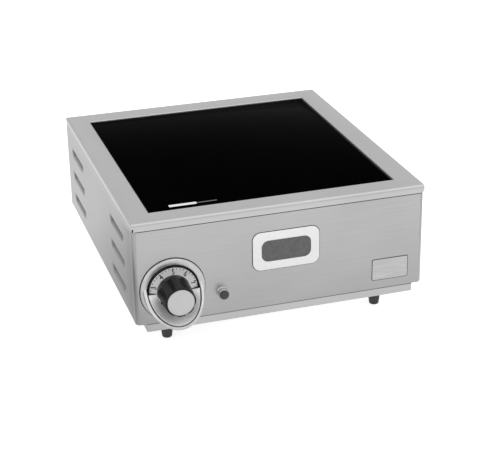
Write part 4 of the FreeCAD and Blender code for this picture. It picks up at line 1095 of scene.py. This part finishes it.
# %% One cross-head screw
HEAD_RADIUS, HEAD_RISE, SLOT_WIDTH = 3.4, 2.4, 0.8
head_rings = [(HEAD_RADIUS, 0.0), (HEAD_RADIUS, 0.9), (3.15, 1.6), (2.5, 2.1), (1.4, 2.36), (0.0, HEAD_RISE)]
screw = turn_profile("rear_screw", head_rings, segments=40)
for across, along in ((HEAD_RADIUS, SLOT_WIDTH), (SLOT_WIDTH, HEAD_RADIUS)):
    blade = add_box("blade", (across * MM, along * MM, HEAD_RISE * MM), (0, 0, HEAD_RISE * MM))
    cut_away(screw, blade)
print("screw head has", len(screw.data.polygons), "faces")

# %% Four screws on the rear sheet
HALF_HEAD = 3.0
rear_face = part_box("rear_panel")[1].y
low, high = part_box("rear_screws")
heads = []
for across in (low.x + HEAD_RADIUS * MM, high.x - HEAD_RADIUS * MM):
    for height in (low.z + HALF_HEAD * MM, high.z - HALF_HEAD * MM):
        head = copy_of(screw, "rear_screw_head")
        head.matrix_world = Matrix.Translation((across, rear_face, height)) @ FACING_FRONT.inverted()
        heads.append(head)
bpy.data.objects.remove(screw)
settle(join("rear_screw_heads", heads), "case", zinc, "plated_steel", "rear_screws")

# %% [markdown]
# ## Glass slab and its printed bars
# The CAD plate is a plain box. The real one has ground edges, so a box is bevelled on all its edges.
# Two plain bars are printed near the front left corner: they are thin raised plates, like
# screen-printed enamel.

# %% Glass slab with ground edges
GROUND_EDGE = 0.8
low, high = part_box("glass_plate")
slab = add_box("glass_slab", high - low, (low + high) / 2)
edit_all(slab)
bpy.ops.mesh.bevel(offset=GROUND_EDGE * MM, segments=3)
bpy.ops.object.mode_set(mode="OBJECT")
settle(slab, "case", black_glass, "black_glass", "glass_plate")

# %% Printed bars
BAR_CORNER, BAR_RAISE, BAR_LINE = 0.5, 0.05, -0.1410
for name, middle, size, finish in (("print_bar_white", -0.1125, (35, 6.4), print_white),
                                   ("print_bar_grey", -0.0815, (25, 2.0), enamel_grey)):
    bar = rounded_plate(name, size, BAR_CORNER, BAR_RAISE)
    settle(bar, "case", finish, "badge_enamel", spot=Matrix.Translation((middle, BAR_LINE, high.z)))

# %% [markdown]
# ## Floor, world and lamps
# The photograph is a cut-out on white, under soft even light. The floor is pale and, for the camera,
# glows a little, so that it meets the white background without a line and still takes a trace of the
# object's shadow. Polished sheet shows what stands round it, and to reflections alone the floor is
# given a painted shadow near the left front corner, which the steel shows as painted shade. The world
# is white to the camera and to reflections, and dimmer as a light.

# %% Floor
FLOOR_SIZE, FLOOR_TONE, FLOOR_GLOW = 40, 0.86, 0.72


def mix_shaders(tree, share, first, second):
    """One shader in place of another, by a share."""
    mix = tree.nodes.new("ShaderNodeMixShader")
    for socket, source in zip(mix.inputs, (share, first, second)):
        tree.links.new(source, socket)
    return mix.outputs["Shader"]


clear_selection()
bpy.ops.mesh.primitive_plane_add(size=FLOOR_SIZE)
floor = bpy.context.object
floor.name = "floor"
floor_finish, tree, shader, place = start_finish("floor_white", specular=0.0)
shader.inputs["Base Color"].default_value = (FLOOR_TONE, FLOOR_TONE, FLOOR_TONE, 1)
shader.inputs["Roughness"].default_value = 0.9
rays = tree.nodes.new("ShaderNodeLightPath").outputs
glow = tree.nodes.new("ShaderNodeEmission")
glow.inputs["Strength"].default_value = FLOOR_GLOW
lit = tree.nodes.new("ShaderNodeAddShader")
tree.links.new(shader.outputs["BSDF"], lit.inputs[0])
tree.links.new(glow.outputs["Emission"], lit.inputs[1])
for_camera = mix_shaders(tree, rays["Is Camera Ray"], shader.outputs["BSDF"], lit.outputs["Shader"])
print("floor shader has", len(tree.nodes), "nodes so far")

# %% What the floor shows to the steel, with a painted shadow pool
POOL_MIDDLE, POOL_RADIUS = Vector((-0.47, -0.10, 0)), 0.42
POOL_EDGE, POOL_CORE = 1.22, 0.0
centre = tree.nodes.new("ShaderNodeMapping")
centre.inputs["Location"].default_value = -POOL_MIDDLE / POOL_RADIUS
centre.inputs["Scale"].default_value = (1 / POOL_RADIUS, 1 / POOL_RADIUS, 0)
tree.links.new(place, centre.inputs["Vector"])
shadow_pool = tree.nodes.new("ShaderNodeTexGradient")
shadow_pool.gradient_type = "SPHERICAL"
tree.links.new(centre.outputs["Vector"], shadow_pool.inputs["Vector"])
# Painted shadow: to reflections the floor glows less towards the pool's middle, near the left front corner.
painted_shadow_glow = tree.nodes.new("ShaderNodeEmission")
brightness = spread(tree, shadow_pool.outputs["Fac"], (0.0, 1.0), (POOL_EDGE, POOL_CORE))
tree.links.new(brightness, painted_shadow_glow.inputs["Strength"])
for_steel = mix_shaders(tree, rays["Is Glossy Ray"], for_camera, painted_shadow_glow.outputs["Emission"])
tree.links.new(for_steel, tree.nodes["Material Output"].inputs["Surface"])
floor.data.materials.append(floor_finish)
print("floor laid")

# %% World
WORLD_LIGHT, WORLD_SEEN = 0.6, 1.0
world = bpy.data.worlds.new("studio")
bpy.context.scene.world = world
world.use_nodes = True
tree = world.node_tree
light = tree.nodes["Background"]
white = tree.nodes.new("ShaderNodeBackground")
for background, strength in ((light, WORLD_LIGHT), (white, WORLD_SEEN)):
    background.inputs["Color"].default_value = (1, 1, 1, 1)
    background.inputs["Strength"].default_value = strength
rays = tree.nodes.new("ShaderNodeLightPath").outputs
seen = calculate(tree, "MAXIMUM", rays["Is Camera Ray"], rays["Is Glossy Ray"])
seen = calculate(tree, "MAXIMUM", seen, rays["Is Transmission Ray"])
sky = mix_shaders(tree, seen, light.outputs["Background"], white.outputs["Background"])
tree.links.new(sky, tree.nodes["World Output"].inputs["Surface"])
bpy.context.scene.view_settings.view_transform = "Standard"
print("world gives", WORLD_LIGHT, "as light and", WORLD_SEEN, "where it is seen")

# %% Lamps
AIM = Vector((0, 0, 0.1))
for name, spot, size, power in (("softbox_above", (0.6, -0.55, 1.65), 2.6, 14),
                                ("softbox_left", (-1.5, -1.1, 0.9), 1.2, 5)):
    lamp_data = bpy.data.lights.new(name, "AREA")
    lamp_data.shape = "SQUARE"
    lamp_data.size = size
    lamp_data.energy = power
    lamp = bpy.data.objects.new(name, lamp_data)
    bpy.context.scene.collection.objects.link(lamp)
    lamp.location = spot
    lamp.rotation_euler = (AIM - Vector(spot)).to_track_quat("-Z", "Y").to_euler()
